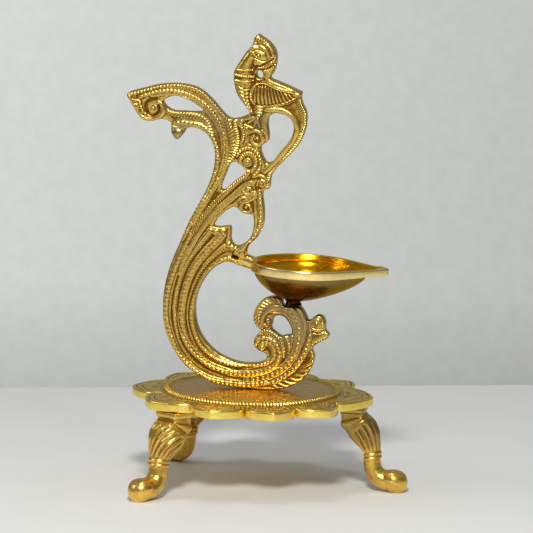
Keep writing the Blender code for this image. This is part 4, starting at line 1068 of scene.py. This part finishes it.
# The pad of the foot, from the top down: middle (radius, height) and half its depth
FOOT_PAD = ((80.2, 12.3, 1.2), (80.1, 12.1, 3.4), (80.0, 11.3, 5.6), (80.2, 9.6, 7.2), (80.5, 7.6, 7.8),
            (80.9, 5.4, 7.7), (81.3, 3.2, 6.9), (81.7, 1.4, 5.6), (82.1, 0.35, 4.4), (82.5, 0.0, 3.6))
# The screwed tab in plan, outwards and sideways
TAB_OUTLINE = ((55, -6), (55, 6), (41, 5), (38.5, 3), (38.5, -3), (41, -5))
TAB_THICK = 3.0


def cabriole_leg(name, degrees, slant, stout, upper_leg_darkening, material):
    """One leg: a block, a gadrooned knee, two rings at the ankle, and a foot turned outwards."""
    turned = math.radians(degrees)
    out = np.array((math.cos(turned), math.sin(turned), 0.0))
    side = np.array((-math.sin(turned), math.cos(turned), 0.0))
    up = np.array((0.0, 0.0, 1.0))
    table = np.array(LEG_STATIONS)
    run = np.r_[0.0, np.cumsum(np.linalg.norm(np.diff(table[:, :2], axis=0), axis=1))]
    at = np.arange(0, run[-1], 0.35)
    r, z, depth, width, square, hollow = (np.interp(at, run, table[:, k]) for k in range(6))
    kernel = np.ones(5) / 5
    swell = 1 + (stout - 1) * unit((at - 9) / 4)
    depth, width = depth * swell, width * swell
    smooth = at > 12.0  # the block and its mouldings stay crisp
    for values in (r, z, depth, width):
        soft = np.convolve(np.pad(values, 2, mode="edge"), kernel, mode="valid")
        values[smooth] = soft[smooth]
    direction = np.stack([np.gradient(r, at), np.gradient(z, at)], axis=1)
    direction = np.stack([np.convolve(np.pad(direction[:, k], 6, mode="edge"), np.ones(13) / 13, mode="valid")
                          for k in range(2)], axis=1)
    direction[at < 6] = (0, -1)
    direction /= np.linalg.norm(direction, axis=1)[:, None]
    count = 160
    a = 2 * math.pi * (np.arange(count) + 0.5) / count
    c, sn = np.cos(a)[None, :], np.sin(a)[None, :]
    size = (np.abs(c) ** square[:, None] + np.abs(sn) ** square[:, None]) ** (-1 / square[:, None])
    u, v = depth[:, None] * c * size, width[:, None] * sn * size
    # gadroons: slanting flutes on the outside of the knee
    knee = unit((at - 12.2) / 2.0) * unit((28.5 - at) / 3.5)
    lobes = 0.5 + 0.5 * np.cos(a[None, :] * LEG_FLUTES + (at[:, None] - 12) * slant)
    flute = 1.0 * knee[:, None] * (1 - lobes ** 0.7) * (c > -0.45)
    u -= flute * c
    v -= flute * sn
    # two rings at the ankle
    ring = 0.75 * (bell(at, 29.6, 0.7) + bell(at, 31.8, 0.7))[:, None]
    u += ring * c
    v += ring * sn
    # the channel down the back of the leg
    channel = 0.72 * width[:, None]
    inside = (c < 0) & (np.abs(v) < channel)
    u = np.where(inside, u + hollow[:, None] * 2 * depth[:, None] * (1 - (v / channel) ** 4), u)
    middle = r[:, None, None] * out + z[:, None, None] * up
    across = -direction[:, 1][:, None, None] * out + direction[:, 0][:, None, None] * up
    rings = middle + across * u[..., None] + v[..., None] * side
    s = Shells()
    s.loft(rings)
    pad = [[out * (radius + half * math.cos(b)) + side * half * 0.94 * math.sin(b) + up * height
            for b in np.linspace(0, 2 * math.pi, 40, endpoint=False)] for radius, height, half in FOOT_PAD]
    s.loft(pad)
    tab_top = PLATE_BOTTOM - GAP
    s.loft([[out * p + side * q + up * h for p, q in TAB_OUTLINE] for h in (tab_top - TAB_THICK, tab_top)])
    item = fused(name, s, material, LEG_VOXEL, LEG_FACES)
    high = vertex_values(item.data)[:, 2] / MM
    # the knee and the block are tinted darker brown, by each leg's share
    paint(item, "upper_leg_darkening", upper_leg_darkening * unit((high - 22) / 8))
    return item


# ---------------------------------------------------------------- the oil bowl

def bowl_ring(drop, inset, pull, shift, count):
    """One level of the bowl in plan: a circle drawn out to a narrow spout, tilted with the bowl."""
    a = np.arange(count) * 2 * math.pi / count
    ahead = np.clip(np.cos(a), 0, None)
    x = BOWL_R * np.cos(a) + pull * (BOWL_LENGTH - 2 * BOWL_R) * ahead ** 5
    y = BOWL_R * np.sin(a) * (1 - 0.6 * pull * ahead ** 5)
    size = (BOWL_R - inset) / BOWL_R
    x, y = BOWL_X + shift + x * size, y * size
    tilt = math.radians(BOWL_TILT)
    dx, dz = x - (BOWL_X - BOWL_R), np.broadcast_to(-np.asarray(drop, float), x.shape)
    return np.stack([BOWL_X - BOWL_R + dx * math.cos(tilt) + dz * math.sin(tilt), y,
                     BOWL_TOP - dx * math.sin(tilt) + dz * math.cos(tilt)], axis=1)


# The neck that stands on the scroll: radius and height of its rows
BOWL_NECK = ((4.6, 0.0), (4.75, 0.3), (4.5, 0.8), (4.15, 1.3), (4.05, 1.8), (4.3, 2.4), (4.9, 3.0))
# Rows of the outside, as shares of the way from its axis out to the band
BOWL_OUTSIDE = (0.2, 0.24, 0.29, 0.35, 0.42, 0.5, 0.58, 0.66, 0.74, 0.81, 0.87, 0.92, 0.955, 0.98, 0.995, 1.0)
BOWL_LIP = 10  # rows from the foot of the band over the rim to where the inside begins


def oil_bowl(material):
    """Neck, outside, rim and inside of the bowl, from the bottom up and down again, as one loft."""
    count = 240
    a = np.arange(count) * 2 * math.pi / count
    lean = NECK_X + 1.0 - BOWL_X
    # the band is deepest where it meets the frame and gets lower towards the spout
    band = BAND_HIGH + 0.5 - 1.3 * unit(np.cos(a)) ** 3 + 0.5 * unit(-np.cos(a)) ** 2
    nub = unit((np.cos(a) - 0.955) / 0.03)  # the rounded end of the spout

    def fallen(t):
        return (1 - t ** 1.5) ** 0.6

    rings = []
    for r, z in BOWL_NECK:
        rings.append(np.stack([NECK_X + r * np.cos(a), r * np.sin(a), np.full(count, NECK_Z + z)], axis=1))
    deep = BOWL_DEEP - BAND_HIGH
    for t in BOWL_OUTSIDE:
        rings.append(bowl_ring(BAND_HIGH + deep * fallen(t), 1.5 + 29.0 * (1 - t), BODY_PULL * t ** 2,
                               (1 - t) * lean, count))
    for drop, inset, pull in ((band, 1.0, 0.98), (band, 0.5, 1.0), (band - 0.25, 0.15, 1.0),
                              (band - 0.8, 0.0, 1.0), (2.2, 0.1, 1.0), (0.8 - 0.2 * nub, 0.0, 1.0),
                              (0.3 - 0.3 * nub, 0.1, 1.0), (0.05 - 0.4 * nub, 0.4, 0.99),
                              (-0.6 * nub, 0.8, 0.97), (-0.8 * nub, 1.3, 0.94), (0.1 - 0.9 * nub, 1.6, 0.86),
                              (0.5, 1.85, 0.78), (1.6, 2.1, 0.74), (2.5, 2.5, 0.71), (3.0, 2.8, 0.66)):
        rings.append(bowl_ring(drop, inset, pull, 0, count))
    for t in (1.0, 0.995, 0.98, 0.95, 0.91, 0.86, 0.8, 0.73, 0.65, 0.56, 0.46, 0.35, 0.24, 0.13, 0.04):
        rings.append(bowl_ring(3.2 + (BOWL_DEEP - 5.2) * fallen(t), 2.7 + 27.8 * (1 - t), BODY_PULL * t ** 2,
                               (1 - t) * lean, count))
    s = Shells()
    s.loft(rings)
    item = mesh_object("bowl", np.concatenate(s.points), s.faces, material)
    point_outward(item)
    # painted shade and reflection: the underside is made dark, a little less so towards the band; the inside
    # from the lip down is painted a deeper orange, a painted reflection of light bounced round it
    below = len(BOWL_NECK) + len(BOWL_OUTSIDE)
    fading = 10
    under, inside = np.zeros(len(rings)), np.zeros(len(rings))
    under[:below] = np.r_[np.ones(below - fading), np.linspace(1.0, 0.75, fading)]
    # painted reflection: the inside is tinted a deeper orange, standing in for light bounced round the bowl
    inside[below + BOWL_LIP] = 0.5
    inside[below + BOWL_LIP + 1:] = 1.0
    paint(item, "under", np.repeat(under, count))
    paint(item, "inside", np.repeat(inside, count))
    return item


def rear_braze(material):
    """Brazing metal run out along the end of the frame and onto the back of the bowl's band."""
    s = Shells()
    rings = []
    sides = 28
    a = np.arange(sides) * 2 * math.pi / sides
    for x, low, high, half in ((-10.4, 125.2, 127.4, 1.6), (-9.0, 124.2, 129.2, 3.0),
                               (-6.5, 123.2, 130.6, 3.6), (-4.0, 122.4, 130.4, 4.0),
                               (-1.8, 121.8, 129.5, 4.6), (0.2, 121.9, 128.6, 4.8), (1.6, 122.6, 127.4, 4.0)):
        c, w = np.cos(a), np.sin(a)
        rings.append(np.stack([np.full(sides, x), half * np.sign(c) * np.abs(c) ** 0.8,
                               (low + high) / 2 + (high - low) / 2 * np.sign(w) * np.abs(w) ** 0.8], axis=1))
    s.loft(rings)
    s.ball(-7.4, 0, 127.4, 2.6, 3.6, 2.2)
    return fused("braze_bead", s, material, BRAZE_VOXEL, LEG_FACES)


# ---------------------------------------------------------------- room, light and camera

def stage_material():
    material = bpy.data.materials.new("table_top")
    material.use_nodes = True
    tree = material.node_tree
    shader = tree.nodes["Principled BSDF"]
    shader.inputs["Roughness"].default_value = 0.55
    where = node(tree, "ShaderNodeTexCoord").outputs["Object"]
    grain = node(tree, "ShaderNodeTexNoise", Scale=14, Detail=4)
    tree.links.new(where, grain.inputs["Vector"])
    tree.links.new(ramp(tree, grain.outputs[0], ((0.3, (0.80, 0.805, 0.785)), (0.7, (0.83, 0.835, 0.82)))),
                   shader.inputs["Base Color"])
    return material


def table_top():
    turn = math.radians(FLOOR_TURN)
    edge, away = np.array((math.cos(turn), math.sin(turn), 0)), np.array((-math.sin(turn), math.cos(turn), 0))
    corners = ((-FLOOR_REACH, -FLOOR_REACH), (FLOOR_REACH, -FLOOR_REACH),
               (FLOOR_REACH, FLOOR_BACK), (-FLOOR_REACH, FLOOR_BACK))
    points = [edge * x + away * y for x, y in corners]
    item = mesh_object("table_top", points, [(0, 1, 2, 3)], stage_material(), smooth=False)


def soft_box(name, place, size, power, colour):
    """A square lamp that faces the brass."""
    light = bpy.data.lights.new(name, "AREA")
    light.shape = "RECTANGLE"
    light.size, light.size_y, light.energy, light.color = size, size, power, colour
    item = bpy.data.objects.new(name, light)
    item.location = place
    item.rotation_euler = (Vector(LIT_POINT) - Vector(place)).to_track_quat("-Z", "Y").to_euler()
    bpy.context.scene.collection.objects.link(item)


def room():
    """A pale wall behind the table, painted lighter on the left and with painted shade where it meets the
    table, a dim studio round it, and soft boxes above.
    """
    world = bpy.data.worlds.new("room")
    bpy.context.scene.world = world
    world.use_nodes = True
    tree = world.node_tree
    shade = tree.nodes["Background"]
    direction = node(tree, "ShaderNodeTexCoord").outputs["Generated"]

    def towards(x, y, z):
        """How far the direction of a ray points along a given one."""
        made = node(tree, "ShaderNodeVectorMath", operation="DOT_PRODUCT")
        tree.links.new(direction, made.inputs[0])
        made.inputs[1].default_value = (x, y, z)
        return made.outputs["Value"]

    up = towards(0, 0, 1)
    dim = ramp(tree, scaled(tree, up, -1, 1, 0, 1),
               ((0.0, (0.06, 0.055, 0.045)), (0.48, (0.07, 0.068, 0.062)), (0.56, (0.13, 0.13, 0.125)),
                (0.72, (0.22, 0.222, 0.225)), (1.0, (0.33, 0.335, 0.345))))
    behind = scaled(tree, towards(0, 1, 0), 0.2, 0.9, 0, 1)
    dim = blend(tree, behind, dim, (0.30, 0.305, 0.30))
    turn = math.radians(VIEW_AZIMUTH)
    along = towards(math.cos(turn), math.sin(turn), 0)
    # painted light: the wall goes from lighter on the left to darker on the right
    wall = ramp(tree, scaled(tree, along, -0.03, 0.03, 0, 1), ((0.0, WALL_LEFT), (1.0, WALL_RIGHT)))
    # painted shade: a dark line where the wall meets the table, and a painted lighter band just above it
    wall = blend(tree, 1.0, wall, scaled(tree, up, -0.180, -0.167, 0.74, 1.0), "MULTIPLY")
    wall = blend(tree, 1.0, wall, scaled(tree, up, -0.167, -0.137, 1.0, 1.07), "MULTIPLY")
    uneven = node(tree, "ShaderNodeTexNoise", Scale=700, Detail=5)
    tree.links.new(direction, uneven.inputs["Vector"])
    wall = blend(tree, 1.0, wall, scaled(tree, uneven.outputs[0], 0.3, 0.7, 0.97, 1.03), "MULTIPLY")
    seen = node(tree, "ShaderNodeLightPath").outputs["Is Camera Ray"]
    tree.links.new(blend(tree, seen, dim, wall), shade.inputs["Color"])
    for box in SOFT_BOXES:
        soft_box(*box)


def camera():
    lens = bpy.data.cameras.new("camera")
    item = bpy.data.objects.new("camera", lens)
    bpy.context.scene.collection.objects.link(item)
    a, e, roll = (math.radians(v) for v in (VIEW_AZIMUTH, VIEW_ELEVATION, VIEW_ROLL))
    back = Vector((math.sin(a) * math.cos(e), -math.cos(a) * math.cos(e), math.sin(e)))
    right = Vector((math.cos(a), math.sin(a), 0))
    up = back.cross(right)
    middle = Vector((AXIS_X / MM, 0, PLATE_TOP)) + right * VIEW_AIM[0] + up * VIEW_AIM[1]
    item.location = (middle + back * VIEW_DISTANCE) * MM
    turn = Matrix((right, up, back)).transposed().to_quaternion()
    item.rotation_mode = "QUATERNION"
    item.rotation_quaternion = turn @ Matrix.Rotation(roll, 3, "Z").to_quaternion()
    lens.sensor_width = SENSOR_WIDTH
    lens.lens = SENSOR_WIDTH * VIEW_DISTANCE / VIEW_WIDTH
    lens.clip_end = 20.0
    bpy.context.scene.camera = item


# ---------------------------------------------------------------- everything together

cast = brass("cast_brass_aged", (0.585, 0.39, 0.092), (0.17, 0.072, 0.005), rough=(0.31, 0.43), grain=0.010,
             tints=(("tarnish", (0.36, 0.275, 0.125)),))
turned_brass = brass("plate_brass", (0.95, 0.66, 0.13), (0.26, 0.13, 0.010), rough=(0.26, 0.36), stain=0.5,
                     grain=0.006, lathe=0.005)
leg_brass = brass("leg_brass_aged", (0.88, 0.575, 0.115), (0.20, 0.085, 0.008), rough=(0.24, 0.38),
                  grain=0.014, tints=(("upper_leg_darkening", (0.36, 0.24, 0.07)),), copper=0.7)
# the under tint below is painted shade and a painted dark reflection
polished = brass("bowl_brass", (1.0, 0.79, 0.33), (0.5, 0.33, 0.09), rough=(0.16, 0.28), hollows=False,
                 stain=0.25, grain=0.012, edge=(1.0, 0.72, 0.35),
                 tints=(("under", (0.075, 0.022, 0.0006)), ("inside", (1.0, 0.48, 0.008))))
bright_bead = brass("braze_brass", (0.92, 0.68, 0.20), (0.45, 0.28, 0.06), rough=(0.16, 0.3), hollows=False)
plain = brass("fastener_brass", (0.70, 0.54, 0.22), (0.3, 0.2, 0.06), rough=(0.3, 0.45), hollows=False)


def settle(item, replaced, hollows=True):
    if hollows:
        mark_hollows(item)
    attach(item, "root")
    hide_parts(replaced)


settle(peacock_frame(cast), "peacock_frame")
settle(petal_plate(turned_brass), "base_plate")
for leg_name, shape in LEG_SHAPES.items():
    settle(cabriole_leg("cabriole_" + leg_name, *shape, leg_brass), leg_name)
settle(oil_bowl(polished), "oil_bowl", hollows=False)
settle(rear_braze(bright_bead), "rear_braze", hollows=False)
for node_name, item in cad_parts.items():
    if "screw" in node_name or "washer" in node_name or "stud" in node_name:
        for socket in item.material_slots:
            socket.material = plain

table_top()
room()
camera()
bpy.context.scene.view_settings.view_transform = "Standard"
